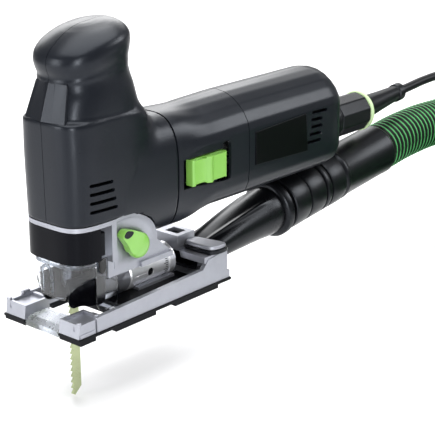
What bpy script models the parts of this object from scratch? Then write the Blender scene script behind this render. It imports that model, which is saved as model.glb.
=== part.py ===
"""A body-grip jigsaw with its suction hose and mains lead, as separate working pieces.

Sizes are in millimetres, measured from the blade line: x runs back along the tool, y to its right,
z up from the face of the sole. The finished tool is moved so that the middle of the sole is the origin.
"""
import math

import bmesh
import bpy
import numpy as np
from mathutils import Matrix, Vector

MM = 0.001

# ---- clearances ----
GAP = 0.3                # between pieces that touch or slide
RUN = 0.5                # between housings and what turns inside them

# ---- base ----
BASE_FRONT = -27.0
BASE_REAR = 113.0
BASE_HALF = 33.5
SOLE_THICK = 3.9
PAD_DROP = 2.4           # the pads stand this far below the runner's plate
FLOOR_THICK = 2.5
WALL_TOP = 14.4
WALL_THICK = 3.2
PRONG_TOP = 13.0
SLOT_HALF = 15.5         # between the two front prongs
BEVEL_HALF = 23.0        # round the blade, so that it can lean over
SLOT_BACK = 20.0
BRIDGE_FRONT = 88.0
BRIDGE_LOW = 20.0
BRIDGE_TOP = 24.3

# ---- tilting barrel ----
TILT_Z = 18.5
BARREL_R = 11.5
BARREL_FRONT = 41.0
BARREL_LENGTH = 43.0

# ---- housings ----
SHELL = 2.5
COLUMN_FRONT = -20.0
COLUMN_BACK = 48.0
COLUMN_HALF = 27.0
COLUMN_LOW = 69.4
KNOB_TOP = 189.4
NECK_LOW = 45.0
SEAM_FRONT = 71.0        # front shells to switch housing
SEAM_REAR = 138.0        # switch housing to motor housing
MOTOR_HALF = 29.4
MOTOR_LOW = 53.0
MOTOR_TOP = 124.0
MOTOR_BACK = 254.0

# ---- gear train ----
ARM_Z = 88.0
TOOTH_MODULE = 0.75
PINION_TEETH = 8
TOOTH_SHARE = 0.38       # of each pitch, at the pitch line
GEAR_TEETH = 60
GEAR_Z = ARM_Z + TOOTH_MODULE * (PINION_TEETH + GEAR_TEETH) / 2
GEAR_FRONT = 12.3
GEAR_THICK = 7.7
STROKE = 26.0
PLUNGER_R = 4.5
PLUNGER_LOW = 48.0
PLUNGER_TOP = 149.0
CRANK_R = 3.0
SHAFT_R = 3.5

# ---- blade ----
BLADE_TIP = -52.0
BLADE_TOP = 46.0
BLADE_WIDE = 8.0
BLADE_THICK = 1.3
TOOTH_PITCH = 4.0
CLAMP_LOW = 24.0
CLAMP_R = 6.2

# ---- gear case ----
LOBE_HALF = 22.0
SHELF_HALF = 24.0
SHELF_THICK = 3.4
CASE_FRONT = 10.3

# ---- suction line ----
TUBE_END_X = 203.0
TUBE_END_Z = 25.0
TUBE_RISE = 0.115        # rise per millimetre of its sloping axis
HOSE_R = 19.0
SLEEVE_LONG = 62.0
CUFF_LONG = 66.0

# ---- mains lead ----
CABLE_R = 3.6
SOCKET_Z = 77.0
RELIEF_END_X = 364.0
RELIEF_END_Z = 81.8

# ---- what lies on the surface below ----
SURFACE_Z = -52.3
COIL_X, COIL_Y = 535.0, -190.0
COIL_MID_R = 190.0
COIL_LAYERS = 3
LEAD_COIL_X, LEAD_COIL_Y = 511.0, -139.0
LEAD_MID_R = 39.6
LEAD_BUNDLE = 28.8

SOLE_MID = (BASE_FRONT + BASE_REAR) / 2
SHAFT_AXIS = Vector((0.0, 0.0, ARM_Z))

# stations up the front column and its knob:
# height, lean, back from COLUMN_FRONT, back face, in from COLUMN_HALF, squareness
COLUMN_STATIONS = [
    (COLUMN_LOW, 0.0, 0.5, 48.0, 0.7, 4.0),
    (112.0, 0.0, -0.3, 49.0, 0.0, 4.0),
    (126.0, 0.0, -0.5, 53.0, 0.0, 3.8),
    (133.0, 0.0, -0.6, 50.0, 0.2, 3.8),
    (135.0, 0.0, 0.8, 49.0, 0.5, 3.6),
    (147.0, 0.06, 4.6, 45.5, 1.7, 3.0),
    (155.0, 0.12, 6.7, 43.2, 2.7, 2.7),
    (160.0, 0.15, 6.9, 42.5, 3.0, 2.6),
    (165.0, 0.18, 5.4, 43.0, 2.2, 2.5),
    (171.0, 0.20, 3.4, 44.0, 0.8, 2.5),
    (176.0, 0.20, 2.8, 44.5, 0.4, 2.5),
    (180.5, 0.19, 6.5, 43.0, 2.0, 2.4),
    (184.5, 0.17, 14.0, 40.0, 6.0, 2.3),
    (187.5, 0.15, 22.0, 35.5, 12.5, 2.2),
    (KNOB_TOP - 0.4, 0.12, 30.0, 28.0, 20.0, 2.0),
]
LEAN_CENTRE = 13.0

# stations back along the switch housing: x, underside, top, half width
SWITCH_STATIONS = [
    (SEAM_FRONT, NECK_LOW, 122.5, COLUMN_HALF - 0.4),
    (80.0, NECK_LOW, 122.6, COLUMN_HALF),
    (90.0, NECK_LOW + 2.5, 122.8, COLUMN_HALF + 0.6),
    (98.0, NECK_LOW + 6.0, 123.0, COLUMN_HALF + 1.2),
    (108.0, MOTOR_LOW, 123.3, COLUMN_HALF + 1.8),
    (SEAM_REAR, MOTOR_LOW, MOTOR_TOP - 0.2, MOTOR_HALF),
]
BARREL_SQUARENESS = 3.0


# ------------------------------------------------------------------ building blocks
def clear_scene():
    for item in list(bpy.data.objects):
        bpy.data.objects.remove(item)


def solid(name, points, faces):
    """A closed mesh from points in millimetres, its faces turned outward."""
    shape = bmesh.new()
    corners = [shape.verts.new(Vector(p) * MM) for p in points]
    for face in faces:
        shape.faces.new([corners[i] for i in face])
    bmesh.ops.recalc_face_normals(shape, faces=shape.faces)
    mesh = bpy.data.meshes.new(name)
    shape.to_mesh(mesh)
    shape.free()
    piece = bpy.data.objects.new(name, mesh)
    bpy.context.scene.collection.objects.link(piece)
    return piece


def loft(name, rings):
    """A solid through rings that have the same number of points."""
    count = len(rings[0])
    points = [p for ring in rings for p in ring]
    faces = [list(range(count))]
    for k in range(len(rings) - 1):
        for i in range(count):
            j = (i + 1) % count
            faces.append([k * count + i, k * count + j, (k + 1) * count + j, (k + 1) * count + i])
    faces.append(list(range((len(rings) - 1) * count, len(rings) * count))[::-1])
    return solid(name, points, faces)


def placed(axis, u, v, along):
    """The point (u, v) of an outline, at a distance along the axis that the outline faces."""
    return {"X": (along, u, v), "Y": (u, along, v), "Z": (u, v, along)}[axis]


def prism(name, outline, axis, low, high):
    return loft(name, [[placed(axis, u, v, at) for u, v in outline] for at in (low, high)])


def block(name, low, high):
    outline = [(low[0], low[1]), (high[0], low[1]), (high[0], high[1]), (low[0], high[1])]
    return prism(name, outline, "Z", low[2], high[2])


def turned(name, profile, origin, direction, steps=24):
    """A piece turned about an axis; its profile is (distance along, radius), closed if it has a bore."""
    along = Vector(direction).normalized()
    side = along.orthogonal().normalized()
    other = along.cross(side)
    bored = min(radius for _, radius in profile) > 0
    points, rings = [], []
    for distance, radius in profile:
        centre = Vector(origin) + along * distance
        if radius == 0:
            rings.append([len(points)] * steps)
            points.append(centre)
            continue
        rings.append(list(range(len(points), len(points) + steps)))
        for i in range(steps):
            turn = 2 * math.pi * i / steps
            points.append(centre + side * (radius * math.cos(turn)) + other * (radius * math.sin(turn)))
    faces = []
    for k in range(len(rings) if bored else len(rings) - 1):
        here, there = rings[k], rings[(k + 1) % len(rings)]
        for i in range(steps):
            j = (i + 1) % steps
            corners = [here[i], here[j], there[j], there[i]]
            faces.append([c for n, c in enumerate(corners) if c not in corners[:n]])
    return solid(name, points, faces)


def rod(name, origin, direction, length, radius, steps=16):
    profile = [(0, 0), (0, radius), (length, radius), (length, 0)]
    return turned(name, profile, origin, direction, steps)


def tube(name, origin, direction, length, radius, bore, steps=24):
    profile = [(0, bore), (0, radius), (length, radius), (length, bore)]
    return turned(name, profile, origin, direction, steps)


def combined(piece, tool, operation):
    """The piece after a Boolean with a tool, which is used up."""
    change = piece.modifiers.new("shape", "BOOLEAN")
    change.operation = operation
    change.solver = "EXACT"
    change.object = tool
    bpy.context.view_layer.update()
    graph = bpy.context.evaluated_depsgraph_get()
    mesh = bpy.data.meshes.new_from_object(piece.evaluated_get(graph))
    piece.modifiers.clear()
    shape = bmesh.new()
    shape.from_mesh(mesh)
    bmesh.ops.triangulate(shape, faces=shape.faces)
    shape.to_mesh(mesh)
    shape.free()
    piece.data = mesh
    bpy.data.objects.remove(tool)
    return piece


def cut(piece, *tools):
    for tool in tools:
        combined(piece, tool, "DIFFERENCE")
    return piece


def joined(piece, *tools):
    for tool in tools:
        combined(piece, tool, "UNION")
    return piece


def kept_inside(piece, tool):
    return combined(piece, tool, "INTERSECT")


def rounded(centre_u, centre_v, half_u, half_v, squareness, count=28):
    """A superellipse outline, from a plain ellipse at 2 towards a box at 4 and above."""
    outline = []
    for i in range(count):
        turn = 2 * math.pi * (i + 0.5) / count
        c, s = math.cos(turn), math.sin(turn)
        u = math.copysign(abs(c) ** (2 / squareness), c)
        v = math.copysign(abs(s) ** (2 / squareness), s)
        outline.append((centre_u + half_u * u, centre_v + half_v * v))
    return outline


def mirrored(outline):
    return [(u, -v) for u, v in outline]


# ------------------------------------------------------------------ housings
def column_ring(station, inset):
    height, lean, set_back, back, set_in, squareness = station
    front = COLUMN_FRONT + set_back
    outline = rounded((front + back) / 2, 0, (back - front) / 2 - inset,
                      COLUMN_HALF - set_in - inset, squareness)
    return [(x, y, height + lean * (x - LEAN_CENTRE)) for x, y in outline]


def column(name, inset=0.0, drop=0.0):
    """The upright column and the knob on it; inset makes its hollow, which reaches drop lower."""
    stations = list(COLUMN_STATIONS)
    if inset:
        stations = [s for s in stations if s[0] < KNOB_TOP - 4]
        low = stations[0]
        stations.insert(0, (low[0] - drop,) + low[1:])
    rings = [column_ring(s, inset) for s in stations]
    return loft(name, rings)


def barrel_ring(x, low, top, half, inset):
    outline = rounded(0, (low + top) / 2, half - inset, (top - low) / 2 - inset, BARREL_SQUARENESS)
    return [(x, y, z) for y, z in outline]


def neck(name, inset, front, back):
    """The part of the front housing that reaches back to the switch housing."""
    _, low, top, half = SWITCH_STATIONS[0]
    return loft(name, [barrel_ring(x, low, top, half, inset) for x in (front, back)])


def lobe_outline(grow):
    """The side of the gear case below the front housing, grown on every side."""
    top, low = 67.6, TILT_Z + BARREL_R + GAP
    return [
        (CASE_FRONT - grow, low - grow), (CASE_FRONT - grow, top - 1.4 + grow), (20.0, top + grow),
        (31.0, top + grow), (39.5 + grow, top - 2.4 + grow), (47.5 + grow, top - 7.0 + grow),
        (52.0 + grow, top - 12.0), (54.5 + grow, top - 19.0), (54.5 + grow, 44.5),
        (67.2 + grow, low + SHELF_THICK + grow), (67.2 + grow, low - grow),
    ]


SCREW_PLACES = [(31.0, 150.0), (62.0, 111.0), (62.0, 62.0)]
BOSS_R = 4.6
SCREW_R = 1.8
SCREW_HEAD_R = 3.3
SCREW_HEAD_LONG = 3.0


def front_housing(name):
    """Both front shells in one piece, hollow, before they are parted."""
    outer = joined(column(name), neck("neck", 0, 22.0, SEAM_FRONT - GAP))
    hollow = joined(column("hollow", SHELL, 12.0), neck("hollow neck", SHELL, 22.0, SEAM_FRONT + 5))
    for x, z in SCREW_PLACES:
        cut(hollow, rod("boss", (x, -60, z), (0, 1, 0), 120, BOSS_R, 12))
    cut(outer, hollow)
    cut(outer, prism("arch", lobe_outline(RUN), "Y", -60, 60))
    under = [(CASE_FRONT - 40, 20.0), (NECK_LOW + 4, 20.0), (NECK_LOW + 4, COLUMN_LOW - 4),
             (CASE_FRONT + 4, COLUMN_LOW), (CASE_FRONT - 40, COLUMN_LOW)]
    cut(outer, prism("under", under, "Y", -60, 60))
    for row in range(4):
        cut(outer, vent_slot(-7.0, 15.6 - 1.2 * row, 76.8 + 5.6 * row, 2.1, 60.0))
    for x, z in SCREW_PLACES:
        cut(outer, rod("hole", (x, -12, z), (0, 1, 0), 60, SCREW_R + GAP, 12))
        cut(outer, rod("head", (x, SCREW_SEAT, z), (0, 1, 0), 40, SCREW_HEAD_R + GAP, 12))
    return outer


SCREW_SEAT = 16.0        # y of the face that the screw heads pull against


def vent_slot(front, back, z, height, reach):
    """A slot right across the housing, sloping down to the back a little."""
    fall = 0.6
    outline = [(front, z), (back, z - fall), (back, z - fall + height), (front, z + height)]
    return prism("slot", outline, "Y", -reach, reach)


def front_shells():
    left = front_housing("left_shell")
    right = left.copy()
    right.data = left.data.copy()
    right.name = "right_shell"
    bpy.context.scene.collection.objects.link(right)
    big = 400.0
    cut(left, block("half", (-big, -GAP / 2, -big), (big, big, big)))
    cut(right, block("half", (-big, -big, -big), (big, GAP / 2, big)))
    return [left, right]


def housing_screw(index, x, z):
    profile = [(0, 0), (0, SCREW_R), (SCREW_SEAT + 11, SCREW_R), (SCREW_SEAT + 11, SCREW_HEAD_R),
               (SCREW_SEAT + 11 + SCREW_HEAD_LONG, SCREW_HEAD_R), (SCREW_SEAT + 11 + SCREW_HEAD_LONG, 0)]
    shift = GAP
    return turned(f"housing_screw_{index}", profile, (x, -11 + shift, z), (0, 1, 0), 10)


SLIDER_FRONT, SLIDER_BACK = 82.0, 115.0
SLIDER_LOW, SLIDER_TOP = 74.0, 91.5
SLIDER_TRAVEL = 5.0
RECESS_DEEP = 3.4


def switch_housing():
    outer = loft("switch_housing", [barrel_ring(x, low, top, half, 0)
                                    for x, low, top, half in shifted_ends(SWITCH_STATIONS)])
    rings = [barrel_ring(x, low, top, half, SHELL) for x, low, top, half in SWITCH_STATIONS]
    first = [(x - 5, y, z) for x, y, z in rings[0]]
    last = [(x + 5, y, z) for x, y, z in rings[-1]]
    cut(outer, loft("hollow", [first] + rings + [last]))
    face = -(COLUMN_HALF + 1.2)
    window = block("window", (SLIDER_FRONT - SLIDER_TRAVEL - 1.5, face - 20, SLIDER_LOW - 1.2),
                   (SLIDER_BACK + 1.5, face + 12, SLIDER_TOP + 1.2))
    recess = [(SEAM_FRONT + 3, 75.5), (SLIDER_BACK + 4.5, 73.0 - 0.6), (SLIDER_BACK + 4.5, 97.5),
              (96.5, 98.4), (SEAM_FRONT + 3, 93.0)]
    cut(outer, prism("recess", recess, "Y", face - 20, face + 1.3), window)
    return outer


def shifted_ends(stations):
    """The same stations, shortened at both ends so that neighbours keep their gap."""
    first, last = stations[0], stations[-1]
    return [(first[0] + GAP / 2,) + first[1:]] + stations[1:-1] + [(last[0] - GAP / 2,) + last[1:]]


REAR_STATIONS = [  # x, in from the full section
    (SEAM_REAR, 0.0), (236.0, 0.0), (244.0, 2.4), (249.5, 6.5), (252.8, 11.0), (MOTOR_BACK, 14.5),
]
SOCKET_BORE = 9.0


def motor_housing():
    stations = [(SEAM_REAR + GAP / 2, 0.0)] + REAR_STATIONS[1:]
    outer = loft("motor_housing", [motor_ring(x, inset) for x, inset in stations])
    inner = [(SEAM_REAR - 5, SHELL)] + [(x - SHELL, inset + SHELL) for x, inset in REAR_STATIONS[1:]]
    cut(outer, loft("hollow", [motor_ring(x, inset) for x, inset in inner]))
    for row, (front, back) in enumerate(((199, 219), (205, 219), (207, 220.5), (207, 220.5), (208, 226))):
        slot = vent_slot(front, back, 77.0 + 5.2 * row, 2.3, 60.0)
        cut(outer, slot)
    cut(outer, rod("socket hole", (MOTOR_BACK - 8, 0, SOCKET_Z), (1, 0, 0), 20, SOCKET_BORE + GAP, 20))
    cut(outer, block("dial slot", (DIAL_X - DIAL_R - 1, MOTOR_HALF - 7.5, DIAL_Z - DIAL_THICK / 2 - GAP),
                     (DIAL_X + DIAL_R + 1, MOTOR_HALF + 10, DIAL_Z + DIAL_THICK / 2 + GAP)))
    return outer


def motor_ring(x, inset):
    return barrel_ring(x, MOTOR_LOW, MOTOR_TOP + 0.4, MOTOR_HALF, inset)


def nameplate():
    outline = [(145.0, 75.5), (196.5, 76.8), (194.0, 98.5), (145.0, 98.5)]
    return prism("nameplate", outline, "Y", -(MOTOR_HALF + 1.0), -(MOTOR_HALF + GAP))


# ------------------------------------------------------------------ gear case and tilting barrel
def band_ring(height, inset):
    _, _, set_back, back, set_in, squareness = COLUMN_STATIONS[0]
    front = COLUMN_FRONT + set_back
    outline = rounded((front + back) / 2, 0, (back - front) / 2 - inset,
                      COLUMN_HALF - set_in - inset, squareness)
    return [(x, y, height) for x, y in outline]


BAND_LOW = COLUMN_LOW - GAP - 2.8
BAND_THICK = 3.4
BAR_BACK = 14.4


def front_band(name, low, top, thick, inset, back):
    """A strip that follows the front of the column and stops at back."""
    strip = loft(name, [band_ring(z, inset) for z in (low, top)])
    cut(strip, loft("inside", [band_ring(z, inset + thick) for z in (low - 5, top + 5)]))
    return cut(strip, block("rear", (back, -60, low - 10), (80, 60, top + 10)))


def gear_case():
    low = TILT_Z + BARREL_R + GAP
    case = prism("gear_case", lobe_outline(0), "Y", -LOBE_HALF, LOBE_HALF)
    joined(case, prism("shelf", [(38.0, low), (67.2, low), (67.2, low + SHELF_THICK), (38.0, low + SHELF_THICK)],
                       "Y", -SHELF_HALF, SHELF_HALF))
    joined(case, front_band("band", BAND_LOW, COLUMN_LOW - GAP, BAND_THICK, 0, BAR_BACK))
    for side in (-1, 1):
        near, far = sorted((side * (LOBE_HALF - 1), side * (COLUMN_HALF - 0.9)))
        joined(case, block("bar", (CASE_FRONT, near, 42.0), (BAR_BACK, far, COLUMN_LOW - GAP)))
    cut(case, block("inside", (CASE_FRONT + 3.5, -LOBE_HALF + 3.5, low + SHELF_THICK + 1),
                    (51.0, LOBE_HALF - 3.5, 90.0)))
    for side in (-1, 1):
        near, far = sorted((side * (FORK_HALF + GAP), side * (FORK_HALF + 3.4)))
        joined(case, block("lug", (CASE_FRONT + 2, near, FORK_PIN_Z - 4), (FORK_PIN_X + 4, far, low + 1)))
    cut(case, rod("pin hole", (FORK_PIN_X, -20, FORK_PIN_Z), (0, 1, 0), 40, FORK_PIN_R + GAP, 12))
    cut(case, rod("knob hole", (KNOB_X, -LOBE_HALF - 5, KNOB_Z), (0, 1, 0), 20, KNOB_STEM_R + GAP, 16))
    return case


def bevel_barrel():
    """The round foot that the head leans on, with its two locking holes."""
    barrel = rod("bevel_barrel", (BARREL_FRONT, 0, TILT_Z), (1, 0, 0), BARREL_LENGTH, BARREL_R, 32)
    for along, angle in ((14.0, 208.0), (7.5, 236.0)):
        turn = math.radians(angle)
        outward = Vector((0, math.cos(turn), math.sin(turn) + 0.35)).normalized()
        start = Vector((BARREL_FRONT + along, 0, TILT_Z)) + outward * (BARREL_R - 4)
        cut(barrel, rod("hole", start, outward, 12, 2.6, 14))
    cut(barrel, tube("groove", (BARREL_FRONT + 36, 0, TILT_Z), (1, 0, 0), 1.0, BARREL_R + 2,
                     BARREL_R - 0.8, 32))
    return barrel


# ------------------------------------------------------------------ gear train
def toothed_outline(teeth, centre_z, first_turn, share):
    """The outline of a spur wheel whose teeth fill a share of each pitch."""
    pitch_r = TOOTH_MODULE * teeth / 2
    root, tip = pitch_r - 0.95 * TOOTH_MODULE, pitch_r + 0.8 * TOOTH_MODULE
    outline = []
    for tooth in range(teeth):
        middle = first_turn + 2 * math.pi * tooth / teeth
        half = math.pi / teeth * share
        for radius, turn in ((root, -1.35 * half), (tip, -0.55 * half), (tip, 0.55 * half), (root, 1.35 * half)):
            outline.append((radius * math.sin(middle + turn), centre_z + radius * math.cos(middle + turn)))
    return outline


def gear_wheel():
    half_pitch = math.pi / GEAR_TEETH
    wheel = prism("gear_wheel", toothed_outline(GEAR_TEETH, GEAR_Z, math.pi + half_pitch, TOOTH_SHARE), "X",
                  GEAR_FRONT, GEAR_FRONT + GEAR_THICK)
    return cut(wheel, rod("bore", (GEAR_FRONT - 5, 0, GEAR_Z), (1, 0, 0), 30, AXLE_R + GAP, 24))


AXLE_R = 4.0
PLATE_FRONT, PLATE_BACK = 24.0, 33.0
BEARING_R = 9.5


def crank_pin():
    return rod("crank_pin", (YOKE_BACK + GAP, 0, GEAR_Z - STROKE / 2), (1, 0, 0),
               GEAR_FRONT - YOKE_BACK - 2 * GAP, CRANK_R, 16)


def bearing_plate():
    outline = rounded(0, (76.0 + GEAR_Z + 12) / 2, 20.0, (GEAR_Z + 12 - 76.0) / 2, 4.0, 28)
    plate = prism("bearing_plate", outline, "X", PLATE_FRONT, PLATE_BACK)
    cut(plate, rod("bore", (PLATE_FRONT - 5, 0, ARM_Z), (1, 0, 0), 30, BEARING_R + GAP, 24))
    axle_front = GEAR_FRONT - 0.5
    return joined(plate, rod("axle", (axle_front, 0, GEAR_Z), (1, 0, 0), PLATE_FRONT + 2 - axle_front, AXLE_R, 24))


YOKE_BACK = 7.6
YOKE_HALF = 18.0
YOKE_TALL = 16.0


def plunger():
    rest_z = GEAR_Z - STROKE / 2
    piece = rod("plunger", (0, 0, PLUNGER_LOW), (0, 0, 1), PLUNGER_TOP - PLUNGER_LOW, PLUNGER_R, 20)
    joined(piece, block("yoke", (2.6, -YOKE_HALF, rest_z - YOKE_TALL / 2), (YOKE_BACK, YOKE_HALF, rest_z + YOKE_TALL / 2)))
    slot = block("slot", (PLUNGER_R + 0.4, -STROKE / 2 - CRANK_R - GAP, rest_z - CRANK_R - GAP),
                 (YOKE_BACK + 5, STROKE / 2 + CRANK_R + GAP, rest_z + CRANK_R + GAP))
    return cut(piece, slot)


def bush(name, low, tall, radius):
    return tube(name, (0, 0, low), (0, 0, 1), tall, radius, PLUNGER_R + GAP, 20)


def blade_clamp():
    profile = [(0, 4.0), (0, CLAMP_R - 0.8), (3, CLAMP_R), (15, CLAMP_R), (15, CLAMP_R - 1.0),
               (17, CLAMP_R - 1.0), (17, CLAMP_R), (PLUNGER_LOW - GAP - CLAMP_LOW, CLAMP_R),
               (PLUNGER_LOW - GAP - CLAMP_LOW, 4.0)]
    return turned("blade_clamp", profile, (0, 0, CLAMP_LOW), (0, 0, 1), 20)


def blade():
    half = BLADE_WIDE / 2
    shank, shoulder, depth = 3.1, CLAMP_LOW - 2, 1.8
    outline = [(-shank, shoulder), (-shank, BLADE_TOP), (shank, BLADE_TOP), (shank, shoulder), (half, shoulder - 1),
               (half, BLADE_TIP + 5), (-half + depth + 0.6, BLADE_TIP)]
    teeth = int((shoulder - BLADE_TIP - 6) // TOOTH_PITCH)
    for k in range(teeth):
        z = BLADE_TIP + 1.5 + k * TOOTH_PITCH
        outline += [(-half, z), (-half + depth, z + 0.7 * TOOTH_PITCH)]
    return prism("blade", outline, "Y", -BLADE_THICK / 2, BLADE_THICK / 2)


FORK_HALF = 5.6
FORK_PIN_X, FORK_PIN_Z, FORK_PIN_R = 16.5, 26.0, 1.8
ROLLER_R, ROLLER_HALF = 5.0, 2.0
ROLLER_X = BLADE_WIDE / 2 + GAP + ROLLER_R
ROLLER_Z = 13.5


def roller_fork():
    top = TILT_Z + BARREL_R
    outline = [(12.0, 8.5), (16.5, 12.0), (19.5, 21.0), (19.5, top - 0.4), (13.0, top - 0.4), (12.6, 21.0),
               (ROLLER_X - 2.6, 17.4), (ROLLER_X - 2.6, 9.0)]
    fork = prism("roller_fork", outline, "Y", -FORK_HALF, FORK_HALF)
    cut(fork, block("gap", (0, -ROLLER_HALF - GAP, 0), (ROLLER_X + ROLLER_R + 0.6, ROLLER_HALF + GAP, ROLLER_Z + ROLLER_R + 0.6)))
    cut(fork, rod("pin hole", (FORK_PIN_X, -20, FORK_PIN_Z), (0, 1, 0), 40, FORK_PIN_R + GAP, 12))
    return cut(fork, rod("axle hole", (ROLLER_X, -20, ROLLER_Z), (0, 1, 0), 40, 1.3 + GAP, 12))


def guide_roller():
    return tube("guide_roller", (ROLLER_X, -ROLLER_HALF, ROLLER_Z), (0, 1, 0), 2 * ROLLER_HALF, ROLLER_R, 1.3 + GAP, 24)


KNOB_X, KNOB_Z, KNOB_STEM_R = 35.5, 46.0, 3.5
KNOB_R = 8.2


def orbit_knob():
    """The four-position turning knob on the left of the gear case, with its finger lever."""
    face = -(LOBE_HALF + GAP)
    profile = [(0, 0), (0, KNOB_R - 4.0), (2.6, KNOB_R - 1.8), (4.8, KNOB_R - 0.2), (5.4, KNOB_R - 0.2), (5.4, KNOB_STEM_R),
               (11.5, KNOB_STEM_R), (11.5, 0)]
    knob = turned("orbit_knob", profile, (KNOB_X, face - 5.4, KNOB_Z), (0, 1, 0), 28)
    lever = [(KNOB_X - 5.0, KNOB_Z + 6.2), (KNOB_X - 6.6, KNOB_Z - 1.5), (KNOB_X - 16.0, KNOB_Z + 8.4),
             (KNOB_X - 16.4, KNOB_Z + 12.0), (KNOB_X - 13.2, KNOB_Z + 13.6)]
    return joined(knob, prism("lever", lever, "Y", face - 5.0, face - 0.4))


# ------------------------------------------------------------------ motor
def armature_shaft():
    """The motor shaft with the pinion cut on its front end."""
    pinion = prism("armature_shaft", toothed_outline(PINION_TEETH, ARM_Z, 0.0, TOOTH_SHARE), "X",
                   GEAR_FRONT - 0.6, GEAR_FRONT + GEAR_THICK + 0.6)
    start = GEAR_FRONT + 1
    return joined(pinion, rod("shaft", (GEAR_FRONT + GEAR_THICK, 0, ARM_Z), (1, 0, 0),
                              REAR_BEARING_BACK - start - 5, SHAFT_R - 1.3, 16),
                  rod("thick", (PLATE_FRONT, 0, ARM_Z), (1, 0, 0), REAR_BEARING_BACK - PLATE_FRONT, SHAFT_R, 16))


REAR_BEARING_FRONT, REAR_BEARING_BACK = 190.0, 197.0
CORE_FRONT, CORE_BACK, CORE_R = 118.0, 164.0, 16.0
FAN_FRONT, FAN_BACK, FAN_R = 42.0, 53.0, 21.0


def armature_core():
    profile = [(0, SHAFT_R + GAP), (0, 11.0), (3, CORE_R), (43, CORE_R), (46, 11.0), (46, SHAFT_R + GAP)]
    return turned("armature_core", profile, (CORE_FRONT, 0, ARM_Z), (1, 0, 0), 24)


def commutator():
    return tube("commutator", (CORE_BACK + GAP, 0, ARM_Z), (1, 0, 0), 18, 10.5, SHAFT_R + GAP, 24)


def cooling_fan():
    """A disc with radial blades."""
    long, bore = FAN_BACK - FAN_FRONT, SHAFT_R + GAP
    profile = [(0, bore), (0, FAN_R), (2.5, FAN_R), (2.5, 7.0), (long, 7.0), (long, bore)]
    fan = turned("cooling_fan", profile, (FAN_FRONT, 0, ARM_Z), (1, 0, 0), 32)
    for k in range(9):
        turn = 2 * math.pi * k / 9
        vane = block("vane", (FAN_FRONT + 1, 5.6, -0.7), (FAN_BACK - 0.6, FAN_R - 0.6, 0.7))
        vane.matrix_world = Matrix.Translation(SHAFT_AXIS * MM) @ Matrix.Rotation(turn, 4, "X")
        joined(fan, vane)
    return fan


def stator():
    tall = 24.5
    half = MOTOR_HALF - SHELL - 3.4
    outline = rounded(0, ARM_Z, half, tall, 4.0, 32)
    body = prism("stator", outline, "X", CORE_FRONT - 2, CORE_BACK + 2)
    return cut(body, rod("bore", (CORE_FRONT - 10, 0, ARM_Z), (1, 0, 0), 70, CORE_R + RUN, 28))


def brush(name, side):
    low, high = sorted((side * (10.5 + GAP), side * 23.5))
    return block(name, (CORE_BACK + 5, low, ARM_Z - 4), (CORE_BACK + 13, high, ARM_Z + 4))


def bearing(name, front, radius):
    return tube(name, (front, 0, ARM_Z), (1, 0, 0), 7, radius, SHAFT_R + GAP, 24)


def electronics_module():
    return block("electronics_module", (204, -17, 64), (236, 16, 80))


def switch_body():
    """The rocker switch behind the slider, and the peg that the slider pushes."""
    y = -(COLUMN_HALF + 1.2)
    return block("switch_body", (84, y + 10.5, 74), (106, y + 21, 96))


DIAL_X, DIAL_Z, DIAL_R, DIAL_THICK = 226.0, 102.0, 9.0, 5.0


def speed_dial():
    """A thumbwheel whose edge stands out of the motor housing."""
    wheel = prism("speed_dial", knurled(DIAL_R, 0.6, 18), "Z", DIAL_Z - DIAL_THICK / 2, DIAL_Z + DIAL_THICK / 2)
    return wheel


DIAL_Y = MOTOR_HALF - 8.0


def knurled(radius, depth, count):
    outline = []
    for k in range(2 * count):
        turn = math.pi * k / count
        r = radius - depth * (k % 2)
        outline.append((DIAL_X + r * math.cos(turn), DIAL_Y + r * math.sin(turn)))
    return outline


# ------------------------------------------------------------------ controls and guards
def on_slider():
    """The sliding on-off switch, with its finger ridge."""
    face = -(COLUMN_HALF + 1.2)
    z0, z1 = SLIDER_LOW, SLIDER_TOP
    outline = [(SLIDER_FRONT, face + 4), (SLIDER_FRONT, face - 0.2), (SLIDER_FRONT + 9, face - 0.9),
               (SLIDER_FRONT + 14.5, face - 2.6), (SLIDER_FRONT + 19, face - 0.9), (SLIDER_BACK - 2, face - 1.5),
               (SLIDER_BACK, face - 0.4), (SLIDER_BACK, face + 4)]
    slider = prism("on_slider", outline, "Z", z0, z1)
    return joined(slider, block("flange", (SLIDER_FRONT - 0.6, face + 3.6, z0 - 0.6), (SLIDER_BACK + 0.6, face + 6, z1 + 0.6)))


COVER_LOW, COVER_TOP = 45.5, BAND_LOW - GAP
COVER_THICK = 2.2
COVER_BACK = 1.0
HINGE_X, HINGE_R = 3.4, 2.1
HINGE_Y = -(COLUMN_HALF - 0.7 - 2.5)


def blade_cover():
    """The black band in front of the blade clamp, a door on an upright hinge."""
    cover = front_band("blade_cover", COVER_LOW, COVER_TOP, COVER_THICK, 0, COVER_BACK)
    arm = block("arm", (COVER_BACK - 1.5, HINGE_Y - HINGE_R, COVER_LOW + 3), (HINGE_X, HINGE_Y + 0.6, COVER_TOP - 3))
    eye = rod("eye", (HINGE_X, HINGE_Y, COVER_LOW + 3), (0, 0, 1), COVER_TOP - COVER_LOW - 6, HINGE_R, 16)
    return joined(cover, arm, eye)


GUARD_TRAVEL = 12.0
GUARD_THICK = 1.6
GUARD_FRONT = COLUMN_FRONT + 3.6
GUARD_HALF = 19.3
GUARD_LOW, GUARD_TOP = 26.0, 52.0


def guard_ring(height, inset):
    back = 40.0
    outline = rounded((GUARD_FRONT + back) / 2, 0, (back - GUARD_FRONT) / 2 - inset, GUARD_HALF - inset, 4.0)
    return [(x, y, height) for x, y in outline]


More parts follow.
